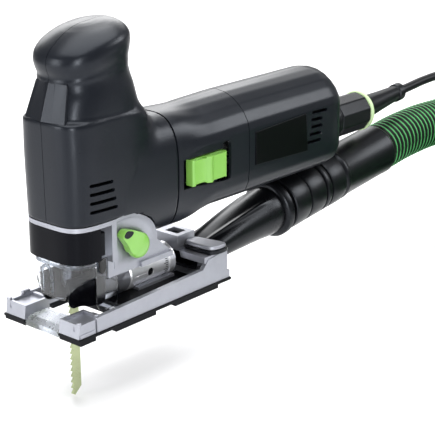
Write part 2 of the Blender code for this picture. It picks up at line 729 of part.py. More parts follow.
def chip_guard():
    """The clear chip guard: a strip round the front of the blade clamp, narrower towards its foot."""
    guard = loft("chip_guard", [guard_ring(z, 0) for z in (GUARD_LOW, GUARD_TOP)])
    cut(guard, loft("inside", [guard_ring(z, GUARD_THICK) for z in (GUARD_LOW - 5, GUARD_TOP + 5)]))
    cut(guard, block("rear", (3.0, -60, 0), (80, 60, 90)))
    half = GUARD_HALF + 2
    front = [(-half, 60.0), (-half, 34.0), (-13.5, 28.0), (-9.0, 20.0), (9.0, 20.0), (13.5, 28.0), (half, 34.0), (half, 60.0)]
    return kept_inside(guard, prism("front view", front, "X", -60, 60))


# ------------------------------------------------------------------ base
def slot_outline(extra):
    """The opening for the blade: narrow between the prongs, wide where the blade leans."""
    return [(BASE_FRONT - 10, -SLOT_HALF + extra), (-6.0, -SLOT_HALF + extra), (-6.0, -BEVEL_HALF + extra),
            (SLOT_BACK - extra, -BEVEL_HALF + extra), (SLOT_BACK - extra, BEVEL_HALF - extra),
            (-6.0, BEVEL_HALF - extra), (-6.0, SLOT_HALF - extra), (BASE_FRONT - 10, SLOT_HALF - extra)]


def base_table():
    low, floor = SOLE_THICK + GAP, SOLE_THICK + GAP + FLOOR_THICK
    table = block("base_table", (BASE_FRONT + 1, -BASE_HALF, low), (BASE_REAR, BASE_HALF, floor))
    side = [(-12.0, low), (-12.0, WALL_TOP - 0.6), (86.0, WALL_TOP + 2.0), (91.5, 22.3), (110.5, BRIDGE_TOP),
            (110.5, 9.6), (BASE_REAR, 9.2), (BASE_REAR, low)]
    prong = [(BASE_FRONT, low), (BASE_FRONT + 1.2, PRONG_TOP), (-5.0, PRONG_TOP), (-5.0, low)]
    for y in (-1, 1):
        inner, outer = sorted((y * (BASE_HALF - WALL_THICK), y * BASE_HALF))
        joined(table, prism("wall", side, "Y", inner, outer))
        inner, outer = sorted((y * SLOT_HALF, y * (BASE_HALF - 0.4)))
        joined(table, prism("prong", prong, "Y", inner, outer))
    joined(table, block("bridge", (BRIDGE_FRONT, -BASE_HALF + 0.5, BRIDGE_LOW), (110.0, BASE_HALF - 0.5, BRIDGE_TOP)))
    cradle = block("cradle", (46, -13, low + 1), (80, 13, TILT_Z - 7.5))
    joined(table, cradle)
    cut(table, rod("trough", (BARREL_FRONT - 5, 0, TILT_Z), (1, 0, 0), 60, BARREL_R + GAP, 32))
    return cut(table, prism("slot", slot_outline(0), "Z", -5, PRONG_TOP + 5))


PAD_SPANS = [(BASE_FRONT + 0.4, -13.9), (3.5, 39.5), (57.7, 100.1)]


def sole_runner():
    """The black sliding sole, its pads standing below a thin plate."""
    runner = block("sole_runner", (BASE_FRONT - 0.6, -BASE_HALF - 1, PAD_DROP), (BASE_REAR + 0.6, BASE_HALF + 1, SOLE_THICK))
    for front, back in PAD_SPANS:
        joined(runner, block("pad", (front, -BASE_HALF - 1, 0), (back, BASE_HALF + 1, PAD_DROP + 0.5)))
    joined(runner, block("land", (SLOT_BACK + 4, -11, 0), (BASE_REAR - 6, 11, PAD_DROP + 0.5)))
    return cut(runner, prism("slot", slot_outline(0), "Z", -5, PRONG_TOP + 5))


def chip_tray():
    """The dark tray on the floor of the base, round the barrel's cradle."""
    low = SOLE_THICK + FLOOR_THICK + 2 * GAP
    half = BASE_HALF - WALL_THICK - GAP
    barrel_end = BARREL_FRONT + BARREL_LENGTH + 1
    outline = [(SLOT_BACK + 1, -half), (barrel_end + 3, -half), (barrel_end + 3, half), (SLOT_BACK + 1, half),
               (SLOT_BACK + 1, 15.0), (barrel_end, 15.0), (barrel_end, -15.0), (SLOT_BACK + 1, -15.0)]
    return prism("chip_tray", outline, "Z", low, low + 2.2)


def splinter_guard():
    """The clear insert between the prongs, drawn back from the blade."""
    half = SLOT_HALF - GAP
    side = [(BASE_FRONT + 0.5, 0.5), (BASE_FRONT + 0.5, 4.2), (BASE_FRONT + 5, 6.4), (-8.0, 6.4), (-8.0, 0.5)]
    return prism("splinter_guard", side, "Y", -half, half)


LEVER_X, LEVER_Y = 99.5, -14.0
CLAMP_BLOCK_TOP = 33.0


def clamp_block():
    piece = block("clamp_block", (BRIDGE_FRONT + 2, -7.0, BRIDGE_TOP + GAP), (BRIDGE_FRONT + 19, 16.0, CLAMP_BLOCK_TOP))
    return cut(piece, block("window", (BRIDGE_FRONT + 6, -3.0, CLAMP_BLOCK_TOP - 3), (BRIDGE_FRONT + 15, 8.0, CLAMP_BLOCK_TOP + 5)))


def clamp_lever():
    """The lever that locks the base, a flat tongue with a round end."""
    low, top = BRIDGE_TOP + GAP, BRIDGE_TOP + 5.8
    half, tip = 6.8, BASE_HALF + 2.5
    outline = [(LEVER_X + half * math.cos(math.pi * k / 8), LEVER_Y + half * math.sin(math.pi * k / 8)) for k in range(9)]
    outline += [(LEVER_X - half, -tip + 6), (LEVER_X - half + 3, -tip), (LEVER_X + half + 4, -tip - 0.5), (LEVER_X + half + 3, -tip + 7)]
    return prism("clamp_lever", outline, "Z", low, top)


# ------------------------------------------------------------------ suction line
def line_point(along):
    """A point on the sloping axis that the sleeve and the cuff share."""
    return Vector((TUBE_END_X, 0, TUBE_END_Z)) + Vector((1, 0, TUBE_RISE)).normalized() * along


TUBE_STATIONS = [  # x, height of centre, half width, half height, squareness
    (100.0, 13.4, 16.0, 6.1, 3.4), (112.0, 13.4, 16.0, 6.2, 3.4), (128.0, 15.0, 15.5, 9.0, 2.8),
    (150.0, 18.0, 15.6, 12.6, 2.3), (175.0, 21.6, 16.8, 16.2, 2.0),
]
TUBE_WALL = 2.2
TUBE_R = HOSE_R - 1.2


def tube_rings(inset, stretch):
    rings = []
    for x, z, half_y, half_z, squareness in TUBE_STATIONS:
        rings.append([(x, y, w) for y, w in rounded(0, z, half_y - inset, half_z - inset, squareness, 24)])
    for x in (TUBE_END_X - 12, TUBE_END_X):
        z = TUBE_END_Z - (TUBE_END_X - x) * TUBE_RISE
        rings.append([(x, y, w) for y, w in rounded(0, z, TUBE_R - inset, TUBE_R - inset, 2.0, 24)])
    if stretch:
        rings[0] = [(x - stretch, y, z) for x, y, z in rings[0]]
        rings[-1] = [(x + stretch, y, z) for x, y, z in rings[-1]]
    return rings


def extraction_tube():
    """The funnel from the base to the hose, with the flange that the sleeve turns against."""
    funnel = loft("extraction_tube", tube_rings(0, 0))
    flange = turned("flange", [(0, 0), (0, TUBE_R + 1), (1.5, HOSE_R + 2.6), (7.5, HOSE_R + 2.6), (7.5, 0)],
                    line_point(-9.5), (1, 0, TUBE_RISE), 32)
    joined(funnel, flange)
    return cut(funnel, loft("bore", tube_rings(TUBE_WALL, 6)))


def coupling_sleeve():
    """The turning sleeve that locks the hose to the funnel, with its grip rings."""
    full, low = HOSE_R + 1.6, HOSE_R + 0.4
    profile = [(0, TUBE_R - 2), (0, full - 1)]
    for start, end in ((1, 17), (19, 36), (38, 43), (45, SLEEVE_LONG - 1)):
        profile += [(start, full), (end, full), (end + 0.6, low), (end + 1.4, low)]
    profile = profile[:-2] + [(SLEEVE_LONG, full - 1), (SLEEVE_LONG, TUBE_R - 2)]
    return turned("coupling_sleeve", profile, line_point(2.4), (1, 0, TUBE_RISE), 28)


def hose_cuff():
    start = 2.4 + SLEEVE_LONG + GAP
    profile = [(0, HOSE_R - 4), (0, HOSE_R + 0.4), (3, HOSE_R + 1.4), (6, HOSE_R + 0.6), (CUFF_LONG - 2, HOSE_R + 0.6),
               (CUFF_LONG, HOSE_R), (CUFF_LONG, HOSE_R - 4)]
    return turned("hose_cuff", profile, line_point(start), (1, 0, TUBE_RISE), 28)


def smooth_path(route, step):
    """Points a step apart along a smooth curve through the route's points."""
    padded = [2 * route[0] - route[1]] + list(route) + [2 * route[-1] - route[-2]]
    fine = []
    for k in range(1, len(padded) - 2):
        p0, p1, p2, p3 = padded[k - 1:k + 3]
        for i in range(24):
            t = i / 24
            fine.append(0.5 * (2 * p1 + (p2 - p0) * t + (2 * p0 - 5 * p1 + 4 * p2 - p3) * t * t
                               + (3 * p1 - p0 - 3 * p2 + p3) * t ** 3))
    fine.append(route[-1])
    lengths = [0.0]
    for a, b in zip(fine, fine[1:]):
        lengths.append(lengths[-1] + (b - a).length)
    count = max(2, round(lengths[-1] / step) + 1)
    wanted = np.linspace(0, lengths[-1], count)
    spread = [np.interp(wanted, lengths, [p[k] for p in fine]) for k in range(3)]
    return [Vector(p) for p in zip(*spread)]


def cord(name, points, radius, resolution):
    """A round cord along points, closed at both ends."""
    curve = bpy.data.curves.new(name, "CURVE")
    curve.dimensions = "3D"
    curve.bevel_depth = radius * MM
    curve.bevel_resolution = resolution
    curve.use_fill_caps = True
    spline = curve.splines.new("POLY")
    spline.points.add(len(points) - 1)
    for place, point in zip(spline.points, points):
        place.co = (*(point * MM), 1)
    piece = bpy.data.objects.new(name, curve)
    bpy.context.scene.collection.objects.link(piece)
    return piece


def before_ring(points, centre_x, centre_y, limit):
    """The points up to where the cord reaches a coil's outside."""
    kept = []
    for point in points:
        if math.hypot(point.x - centre_x, point.y - centre_y) < limit:
            break
        kept.append(point)
    return kept


def hose_parts():
    start = line_point(2.4 + SLEEVE_LONG + CUFF_LONG + 2 * GAP)
    layer_z = SURFACE_Z + (2 * COIL_LAYERS - 1) * HOSE_R
    onward = Vector((1, 0, TUBE_RISE)).normalized()
    route = [start, start + 32 * onward, Vector((398, 0, 45.2)), Vector((430, 0, layer_z + 1.2)),
             Vector((COIL_X, COIL_Y + COIL_MID_R, layer_z))]
    points = before_ring(smooth_path(route, 12.0), COIL_X, COIL_Y, COIL_MID_R + 2 * HOSE_R)
    hose = cord("hose", points[::3] if (len(points) - 1) % 3 == 0 else points[::3] + points[-1:], HOSE_R, 4)
    half = HOSE_R
    top = SURFACE_Z + 2 * COIL_LAYERS * HOSE_R
    edge = 6.0
    profile = [(SURFACE_Z, COIL_MID_R - half + edge), (SURFACE_Z, COIL_MID_R + half - edge),
               (SURFACE_Z + edge, COIL_MID_R + half), (top - edge, COIL_MID_R + half),
               (top, COIL_MID_R + half - edge), (top, COIL_MID_R - half + edge),
               (top - edge, COIL_MID_R - half), (SURFACE_Z + edge, COIL_MID_R - half)]
    coil = turned("hose_coil", profile, (COIL_X, COIL_Y, 0), (0, 0, 1), 48)
    tail_y, tail_z = COIL_Y - COIL_MID_R, SURFACE_Z + HOSE_R
    tail_points = [Vector((x, tail_y, tail_z)) for x in (404.0, 366.0, 330.0)]
    tail = cord("hose_tail", tail_points, HOSE_R, 4)
    profile = [(0, HOSE_R - 5), (0, HOSE_R), (64, HOSE_R), (64, HOSE_R - 5)]
    end = turned("hose_end_cuff", profile, (330.0 - GAP, tail_y, tail_z), (-1, 0, 0), 28)
    return [hose, coil, tail, end]


# ------------------------------------------------------------------ mains lead
def relief_ring(x, radius):
    share = (x - SOCKET_END_X) / (RELIEF_END_X - SOCKET_END_X)
    z = SOCKET_Z + (RELIEF_END_Z - SOCKET_Z) * share
    return [(x, y, w) for y, w in rounded(0, z, radius, radius, 2.0, 20)]


SOCKET_END_X = 309.0


def cable_socket():
    """The socket in the end of the motor housing, with its round collar outside."""
    profile = [(0, 0), (0, SOCKET_BORE), (MOTOR_BACK + GAP - 247, SOCKET_BORE), (MOTOR_BACK + GAP - 247, 15.6), (264 - 247, 16.0),
               (268 - 247, 14.6), (268 - 247, 7.0), (304 - 247, 7.0), (304 - 247, 0)]
    return turned("cable_socket", profile, (247, 0, SOCKET_Z), (1, 0, 0), 24)


def lock_sleeve():
    """The faceted sleeve that turns to lock the lead's plug."""
    outline = [(15.2 * math.sin(math.pi * k / 5), SOCKET_Z + 15.2 * math.cos(math.pi * k / 5)) for k in range(10)]
    sleeve = prism("lock_sleeve", outline, "X", 268 + GAP, 304)
    return cut(sleeve, rod("bore", (260, 0, SOCKET_Z), (1, 0, 0), 60, 7.0 + GAP, 20))


def indicator_ring():
    return rod("indicator_ring", (304 + GAP, 0, SOCKET_Z), (1, 0, 0), 3.4, 15.6, 28)


def bend_relief():
    start = 304 + GAP + 3.4 + GAP
    stations = [(start, 10.4), (316.0, 9.2), (335.0, 7.6), (357.0, 6.1), (357.4, 7.1), (RELIEF_END_X, 7.1)]
    return loft("bend_relief", [relief_ring(x, r) for x, r in stations])


CABLE_ROUTE = [  # after it leaves the bend relief
    (380.0, 0.0, 83.0), (402.0, 0.0, 84.6), (426.0, -1.0, 85.6), (448.0, -6.0, 84.0), (466.0, -14.0, 79.0),
    (480.0, -25.0, 71.0), (491.0, -38.0, 58.0), (498.0, -49.0, 38.0), (503.0, -56.0, 12.0),
    (508.0, -62.0, -14.0), (517.0, -69.0, -36.0), (531.0, -77.0, -47.0), (546.0, -87.0, SURFACE_Z + CABLE_R),
    (556.0, -102.0, SURFACE_Z + CABLE_R), (561.0, -120.0, SURFACE_Z + CABLE_R),
]


def cable_parts():
    start = Vector((RELIEF_END_X + GAP, 0, RELIEF_END_Z))
    route = [start] + [Vector(p) for p in CABLE_ROUTE]
    reach = LEAD_MID_R + LEAD_BUNDLE / 2
    points = before_ring(smooth_path(route, 8.0), LEAD_COIL_X, LEAD_COIL_Y, reach + CABLE_R + 2 * GAP)
    cable = cord("cable", points[::2] if len(points) % 2 else points[::2] + points[-1:], CABLE_R, 2)
    half = LEAD_BUNDLE / 2
    top, edge = SURFACE_Z + LEAD_BUNDLE, 4.0
    profile = [(SURFACE_Z, LEAD_MID_R - half + edge), (SURFACE_Z, LEAD_MID_R + half - edge),
               (SURFACE_Z + edge, LEAD_MID_R + half), (top - edge, LEAD_MID_R + half),
               (top, LEAD_MID_R + half - edge), (top, LEAD_MID_R - half + edge),
               (top - edge, LEAD_MID_R - half), (SURFACE_Z + edge, LEAD_MID_R - half)]
    coil = turned("cable_coil", profile, (LEAD_COIL_X, LEAD_COIL_Y, 0), (0, 0, 1), 32)
    return [cable, coil, mains_plug()]


PLUG_HALF = 9.5


def mains_plug():
    """A two-pin plug lying on its side, with its own bend relief."""
    x = LEAD_COIL_X + LEAD_MID_R + LEAD_BUNDLE / 2 - CABLE_R
    y = LEAD_COIL_Y - 34.0
    z = SURFACE_Z + PLUG_HALF
    stations = [(0, 4.4, 4.4), (22, 6.4, 6.4), (26, 12.0, 8.4), (34, 16.0, PLUG_HALF), (58, 17.5, PLUG_HALF), (62, 16.4, 8.6)]
    rings = [[(x + u, y - along, z + w) for u, w in rounded(0, 0, half_x, half_z, 2.4, 20)]
             for along, half_x, half_z in stations]
    plug = loft("mains_plug", rings)
    for side in (-1, 1):
        joined(plug, rod("pin", (x + side * 9.5, y - 60, z), (0, -1, 0), 21, 2.4, 12))
    return plug


# ------------------------------------------------------------------ assembly
FINISHES = {  # colour, roughness, metallic
    "charcoal": ((0.045, 0.048, 0.056), 0.45, 0.0),
    "black": ((0.012, 0.012, 0.014), 0.4, 0.0),
    "rubber": ((0.02, 0.02, 0.02), 0.7, 0.0),
    "green": ((0.22, 0.58, 0.09), 0.4, 0.0),
    "aluminium": ((0.62, 0.63, 0.65), 0.35, 0.9),
    "steel": ((0.5, 0.5, 0.52), 0.25, 1.0),
    "blade_steel": ((0.5, 0.54, 0.36), 0.35, 0.8),
    "copper": ((0.72, 0.35, 0.2), 0.35, 1.0),
    "clear": ((0.85, 0.88, 0.9), 0.1, 0.0),
    "bronze": ((0.55, 0.4, 0.18), 0.4, 1.0),
    "hose_green": ((0.06, 0.2, 0.07), 0.55, 0.0),
    "pale_green": ((0.55, 0.72, 0.35), 0.5, 0.0),
}


def finish(piece, finish_name, smooth_angle=35.0):
    colour, roughness, metallic = FINISHES[finish_name]
    material = bpy.data.materials.new(piece.name)
    material.use_nodes = True
    surface = material.node_tree.nodes["Principled BSDF"]
    surface.inputs["Base Color"].default_value = (*colour, 1)
    surface.inputs["Roughness"].default_value = roughness
    surface.inputs["Metallic"].default_value = metallic
    piece.data.materials.clear()
    piece.data.materials.append(material)
    if piece.type == "MESH":
        piece.data.shade_smooth()
        piece.data.set_sharp_from_angle(angle=math.radians(smooth_angle))


def hung(pivot_name, place, pieces, parent):
    """An empty on a joint's axis, with the pieces that it moves as its children."""
    pivot = bpy.data.objects.new(pivot_name, None)
    bpy.context.scene.collection.objects.link(pivot)
    pivot.location = Vector(place) * MM
    pivot.parent = parent
    for piece in pieces:
        piece.parent = pivot
        piece.matrix_parent_inverse = Matrix.Translation(-pivot.location)
    return pivot


def build():
    clear_scene()
    frame = bpy.data.objects.new("sole_middle", None)
    bpy.context.scene.collection.objects.link(frame)
    frame.location = (-SOLE_MID * MM, 0, 0)

    base = {"base_table": (base_table(), "aluminium"), "sole_runner": (sole_runner(), "black"),
            "chip_tray": (chip_tray(), "black"), "clamp_block": (clamp_block(), "aluminium"),
            "extraction_tube": (extraction_tube(), "black"), "hose_cuff": (hose_cuff(), "rubber")}
    for piece, finish_name in base.values():
        finish(piece, finish_name)
        piece.parent = frame
    for piece, finish_name in zip(hose_parts(), ("hose_green", "hose_green", "hose_green", "rubber")):
        finish(piece, finish_name)
        piece.parent = frame
    for piece in cable_parts():
        finish(piece, "rubber")
        piece.parent = frame

    head = hung("head_tilt", (0, 0, TILT_Z), [], frame)
    to_head = Matrix.Translation((0, 0, -TILT_Z * MM))
    left, right = front_shells()
    fixed = [
        (left, "charcoal"), (right, "charcoal"), (switch_housing(), "charcoal"), (motor_housing(), "charcoal"),
        (nameplate(), "black"), (gear_case(), "aluminium"), (bevel_barrel(), "aluminium"),
        (bearing_plate(), "aluminium"), (bush("upper_bush", 138.0, 9.0, 10.0), "bronze"),
        (bush("lower_bush", 74.4, 9.0, 9.0), "bronze"), (bearing("front_bearing", 25.0, BEARING_R), "steel"),
        (bearing("rear_bearing", REAR_BEARING_FRONT, 8.0), "steel"), (stator(), "steel"),
        (brush("left_brush", -1), "black"), (brush("right_brush", 1), "black"),
        (electronics_module(), "black"), (switch_body(), "black"), (cable_socket(), "black"),
        (indicator_ring(), "pale_green"), (bend_relief(), "rubber"),
        (rod("fork_pin", (FORK_PIN_X, -FORK_HALF - 3, FORK_PIN_Z), (0, 1, 0), 2 * FORK_HALF + 6, FORK_PIN_R, 12), "steel"),
    ]
    fixed += [(housing_screw(k + 1, x, z), "steel") for k, (x, z) in enumerate(SCREW_PLACES)]
    for piece, finish_name in fixed:
        finish(piece, finish_name)
        piece.parent = head
        piece.matrix_parent_inverse = to_head

    moving = [
        ("stroke", (0, 0, CLAMP_LOW), head, [(plunger(), "steel"), (blade_clamp(), "steel"), (blade(), "blade_steel")]),
        ("gear_turn", (GEAR_FRONT, 0, GEAR_Z), head, [(gear_wheel(), "steel"), (crank_pin(), "steel")]),
        ("armature_turn", (CORE_FRONT, 0, ARM_Z), head,
         [(armature_shaft(), "steel"), (armature_core(), "steel"), (commutator(), "copper"), (cooling_fan(), "black")]),
        ("orbit_select", (KNOB_X, -LOBE_HALF, KNOB_Z), head, [(orbit_knob(), "green")]),
        ("switch_slide", (SLIDER_FRONT, -COLUMN_HALF, SLIDER_LOW), head, [(on_slider(), "green")]),
        ("dial_turn", (DIAL_X, DIAL_Y, DIAL_Z), head, [(speed_dial(), "black")]),
        ("lead_lock", (268, 0, SOCKET_Z), head, [(lock_sleeve(), "black")]),
        ("cover_swing", (HINGE_X, HINGE_Y, COVER_LOW), head, [(blade_cover(), "black")]),
        ("guard_slide", (GUARD_FRONT, 0, GUARD_LOW), head, [(chip_guard(), "clear")]),
        ("splinter_slide", (BASE_FRONT, 0, 0), frame, [(splinter_guard(), "clear")]),
        ("clamp_swing", (LEVER_X, LEVER_Y, BRIDGE_TOP), frame, [(clamp_lever(), "aluminium")]),
        ("sleeve_turn", line_point(2.4), frame, [(coupling_sleeve(), "black")]),
    ]
    fork = [("orbit_swing", (FORK_PIN_X, 0, FORK_PIN_Z), head, [
        (roller_fork(), "black"),
        (rod("roller_pin", (ROLLER_X, -FORK_HALF + 0.4, ROLLER_Z), (0, 1, 0), 2 * FORK_HALF - 0.8, 1.3, 12), "steel")])]
    fork.append(("roller_turn", (ROLLER_X, 0, ROLLER_Z), head, [(guide_roller(), "steel")]))
    for pivot_name, place, parent, pieces in moving + fork:
        for piece, finish_name in pieces:
            finish(piece, finish_name)
        pivot = hung(pivot_name, place, [piece for piece, _ in pieces], None)
        pivot.parent = parent
        if parent == head:
            pivot.matrix_parent_inverse = to_head


build()
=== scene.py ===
"""The finished look of a body-grip jigsaw with its suction hose and mains lead.

Places are in millimetres from the blade line (x back along the tool, y to its right, z up from the sole's face);
at() turns them into the frame's metres, whose origin is the middle of the sole.
"""
import math

import bmesh
import bpy
import numpy as np
from mathutils import Matrix, Vector


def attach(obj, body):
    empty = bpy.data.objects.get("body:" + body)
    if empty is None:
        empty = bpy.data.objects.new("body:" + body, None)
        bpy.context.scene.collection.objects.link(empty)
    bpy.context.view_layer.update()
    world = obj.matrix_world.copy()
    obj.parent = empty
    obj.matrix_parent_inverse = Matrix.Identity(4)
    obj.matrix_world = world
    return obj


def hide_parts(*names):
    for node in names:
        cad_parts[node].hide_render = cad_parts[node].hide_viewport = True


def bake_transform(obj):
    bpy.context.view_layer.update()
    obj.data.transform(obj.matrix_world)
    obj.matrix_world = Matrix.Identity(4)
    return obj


MM = 0.001
SOLE_MIDDLE = 43.0               # from the blade line back to the middle of the sole

# ---- housings ----
COLUMN_FRONT = -20.0
COLUMN_HALF = 27.0
COLUMN_LOW = 69.4
NECK_LOW = 45.0
SEAM_FRONT, SEAM_REAR = 71.0, 138.0
MOTOR_HALF, MOTOR_LOW, MOTOR_TOP, MOTOR_BACK = 29.4, 53.0, 124.4, 254.0
SHELL = 2.4
SEAM_GAP = 0.6                   # between the housings
SPLIT_GAP = 0.35                 # between the left and the right front shell
SWITCH_FACE = -28.2              # the side that carries the slider

# ---- gear case, knob and barrel ----
CASE_LOW, CASE_HALF = 30.3, 22.0
TILT_Z = 18.5                    # the line that the base tilts about
BARREL_X = 41.0
KNOB_X, KNOB_FACE, KNOB_Z = 35.5, -27.7, 46.0
LEVER_REACH = 21.5

# ---- directions ----
BACKWARD, ACROSS, UPWARD = (1, 0, 0), (0, 1, 0), (0, 0, 1)

# ---- suction line ----
TUBE_END_X, TUBE_END_Z, TUBE_RISE = 203.0, 25.0, 0.115
HOSE_R = 19.0
HOSE_PITCH = 5.0
HOSE_SIDES = 26
HOSE_START = 130.1               # along the sloping axis
COIL_X, COIL_Y, COIL_R = 535.0, -190.0, 191.0
SURFACE_Z = -52.3

# ---- mains lead ----
LEAD_R = 3.6
LEAD_Z = 77.0                    # the middle of the socket in the motor housing
LEAD_START = (364.3, 0.0, 81.8)
LEAD_COIL_X, LEAD_COIL_Y, LEAD_COIL_R = 511.0, -139.0, 39.6

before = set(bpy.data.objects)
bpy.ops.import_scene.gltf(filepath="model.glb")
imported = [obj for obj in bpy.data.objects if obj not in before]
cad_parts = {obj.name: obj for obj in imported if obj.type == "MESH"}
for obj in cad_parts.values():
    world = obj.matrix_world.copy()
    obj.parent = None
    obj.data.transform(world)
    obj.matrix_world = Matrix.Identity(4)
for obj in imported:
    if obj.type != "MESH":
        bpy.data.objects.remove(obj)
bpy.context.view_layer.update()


# ------------------------------------------------------------------ places and meshes
def at(x, y, z):
    """A place on the tool, in metres from the middle of the sole."""
    return Vector((x - SOLE_MIDDLE, y, z)) * MM


def piece_from(name, points, faces, smooth=38.0):
    """A mesh from points in millimetres, faces outward, shaded smooth up to an angle."""
    shape = bmesh.new()
    corners = [shape.verts.new(at(*p)) for p in points]
    for face in faces:
        shape.faces.new([corners[i] for i in face])
    bmesh.ops.recalc_face_normals(shape, faces=shape.faces)
    mesh = bpy.data.meshes.new(name)
    shape.to_mesh(mesh)
    shape.free()
    piece = bpy.data.objects.new(name, mesh)
    bpy.context.scene.collection.objects.link(piece)
    shade(piece, smooth)
    return piece


def shade(piece, smooth=38.0):
    piece.data.shade_smooth()
    piece.data.set_sharp_from_angle(angle=math.radians(smooth))


def loft(name, rings, smooth=38.0):
    """A skin through rings of equal count, capped at both ends."""
    count = len(rings[0])
    points = [p for ring in rings for p in ring]
    faces = [list(range(count))]
    for k in range(len(rings) - 1):
        for i in range(count):
            j = (i + 1) % count
            faces.append([k * count + i, k * count + j, (k + 1) * count + j, (k + 1) * count + i])
    faces.append(list(range((len(rings) - 1) * count, len(rings) * count))[::-1])
    return piece_from(name, points, faces, smooth)


def prism(name, outline, axis, low, high):
    place = {"X": lambda u, v, w: (w, u, v), "Y": lambda u, v, w: (u, w, v), "Z": lambda u, v, w: (u, v, w)}[axis]
    return loft(name, [[place(u, v, w) for u, v in outline] for w in (low, high)])


def block(name, low, high):
    outline = [(low[0], low[1]), (high[0], low[1]), (high[0], high[1]), (low[0], high[1])]
    return prism(name, outline, "Z", low[2], high[2])


def turned(name, profile, origin, direction, steps=64, smooth=38.0):
    """A round piece: its profile is (along, radius) and closes on itself, so it may be bored."""
    axis = Vector(direction).normalized()
    side = axis.orthogonal().normalized()
    other = axis.cross(side)
    points, rings = [], []
    for distance, radius in profile:
        centre = Vector(origin) + axis * distance
        if radius == 0:
            rings.append([len(points)] * steps)
            points.append(centre)
            continue
        rings.append(list(range(len(points), len(points) + steps)))
        for i in range(steps):
            turn = 2 * math.pi * i / steps
            points.append(centre + side * (radius * math.cos(turn)) + other * (radius * math.sin(turn)))
    bored = min(radius for _, radius in profile) > 0
    faces = []
    for k in range(len(rings) if bored else len(rings) - 1):
        here, there = rings[k], rings[(k + 1) % len(rings)]
        for i in range(steps):
            j = (i + 1) % steps
            corners = [here[i], here[j], there[j], there[i]]
            faces.append([c for n, c in enumerate(corners) if c not in corners[:n]])
    return piece_from(name, points, faces, smooth)


def rod(name, radius, length, origin, direction, steps):
    return turned(name, [(0, 0), (0, radius), (length, radius), (length, 0)], origin, direction, steps)


def sides(near, far):
    """The same reach across the tool on its left and on its right."""
    return [(-far, -near), (near, far)]


def rounded(centre_u, centre_v, half_u, half_v, squareness, count=96):
    """A superellipse outline with evenly spread points."""
    dense = []
    for i in range(720):
        turn = 2 * math.pi * i / 720
        c, s = math.cos(turn), math.sin(turn)
        dense.append((centre_u + half_u * math.copysign(abs(c) ** (2 / squareness), c),
                      centre_v + half_v * math.copysign(abs(s) ** (2 / squareness), s)))
    dense.append(dense[0])
    edge = np.array(dense)
    run = np.concatenate([[0], np.cumsum(np.hypot(*np.diff(edge, axis=0).T))])
    where = np.linspace(0, run[-1], count, endpoint=False)
    return list(zip(np.interp(where, run, edge[:, 0]), np.interp(where, run, edge[:, 1])))


def spread(stations, steps):
    """Stations blended smoothly into many, through a monotone cubic in their first value."""
    table = np.array(stations, float)
    x = table[:, 0]
    gap = np.diff(x)
    slope = np.diff(table, axis=0) / gap[:, None]
    tangent = np.zeros_like(table)
    tangent[0], tangent[-1] = slope[0], slope[-1]
    for k in range(1, len(x) - 1):
        a, b = slope[k - 1], slope[k]
        w1, w2 = 2 * gap[k] + gap[k - 1], gap[k] + 2 * gap[k - 1]
        with np.errstate(divide="ignore", invalid="ignore"):
            mean = (w1 + w2) / (w1 / a + w2 / b)
        tangent[k] = np.where(a * b > 0, mean, 0)
    rows = []
    for k in range(len(x) - 1):
        n = max(1, round(steps * gap[k] / (x[-1] - x[0])))
        for i in range(n):
            t = i / n
            h00, h10 = 2 * t ** 3 - 3 * t ** 2 + 1, t ** 3 - 2 * t ** 2 + t
            h01, h11 = -2 * t ** 3 + 3 * t ** 2, t ** 3 - t ** 2
            rows.append(h00 * table[k] + h10 * gap[k] * tangent[k]
                        + h01 * table[k + 1] + h11 * gap[k] * tangent[k + 1])
    rows.append(table[-1])
    return [tuple(row) for row in rows]


def together(name, parts):
    """Several loose meshes as one object."""
    shape = bmesh.new()
    for part in parts:
        part.data.transform(part.matrix_world)
        shape.from_mesh(part.data)
        bpy.data.objects.remove(part)
    mesh = bpy.data.meshes.new(name)
    shape.to_mesh(mesh)
    shape.free()
    piece = bpy.data.objects.new(name, mesh)
    bpy.context.scene.collection.objects.link(piece)
    return piece


def settled(piece):
    """The piece with its modifiers made part of its mesh."""
    bpy.context.view_layer.update()
    graph = bpy.context.evaluated_depsgraph_get()
    mesh = bpy.data.meshes.new_from_object(piece.evaluated_get(graph))
    piece.modifiers.clear()
    piece.data = mesh
    return piece


def combined(piece, tool, operation):
    """A Boolean with the tool used up, its doubled points merged and its many-sided faces cut into triangles."""
    change = piece.modifiers.new("shape", "BOOLEAN")
    change.operation, change.solver, change.object = operation, "EXACT", tool
    settled(piece)
    shape = bmesh.new()
    shape.from_mesh(piece.data)
    bmesh.ops.remove_doubles(shape, verts=shape.verts, dist=0.002 * MM)
    bmesh.ops.triangulate(shape, faces=[face for face in shape.faces if len(face.verts) > 4])
    shape.to_mesh(piece.data)
    shape.free()
    bpy.data.objects.remove(tool)
    return piece


def cut(piece, *tools):
    for tool in tools:
        combined(piece, tool, "DIFFERENCE")
    return piece


def joined(piece, *tools):
    for tool in tools:
        combined(piece, tool, "UNION")
    return piece


def softened(piece, width, angle=40.0, segments=2):
    """Small rounds along the piece's sharp edges."""
    edge = piece.modifiers.new("edge round", "BEVEL")
    edge.width, edge.segments, edge.limit_method = width * MM, segments, "ANGLE"
    edge.angle_limit, edge.harden_normals = math.radians(angle), True
    edge.use_clamp_overlap = True
    return piece


# ------------------------------------------------------------------ finishes
GROUP_OUTPUTS = [("Colour", "C"), ("Roughness", "F"), ("Height", "F")]


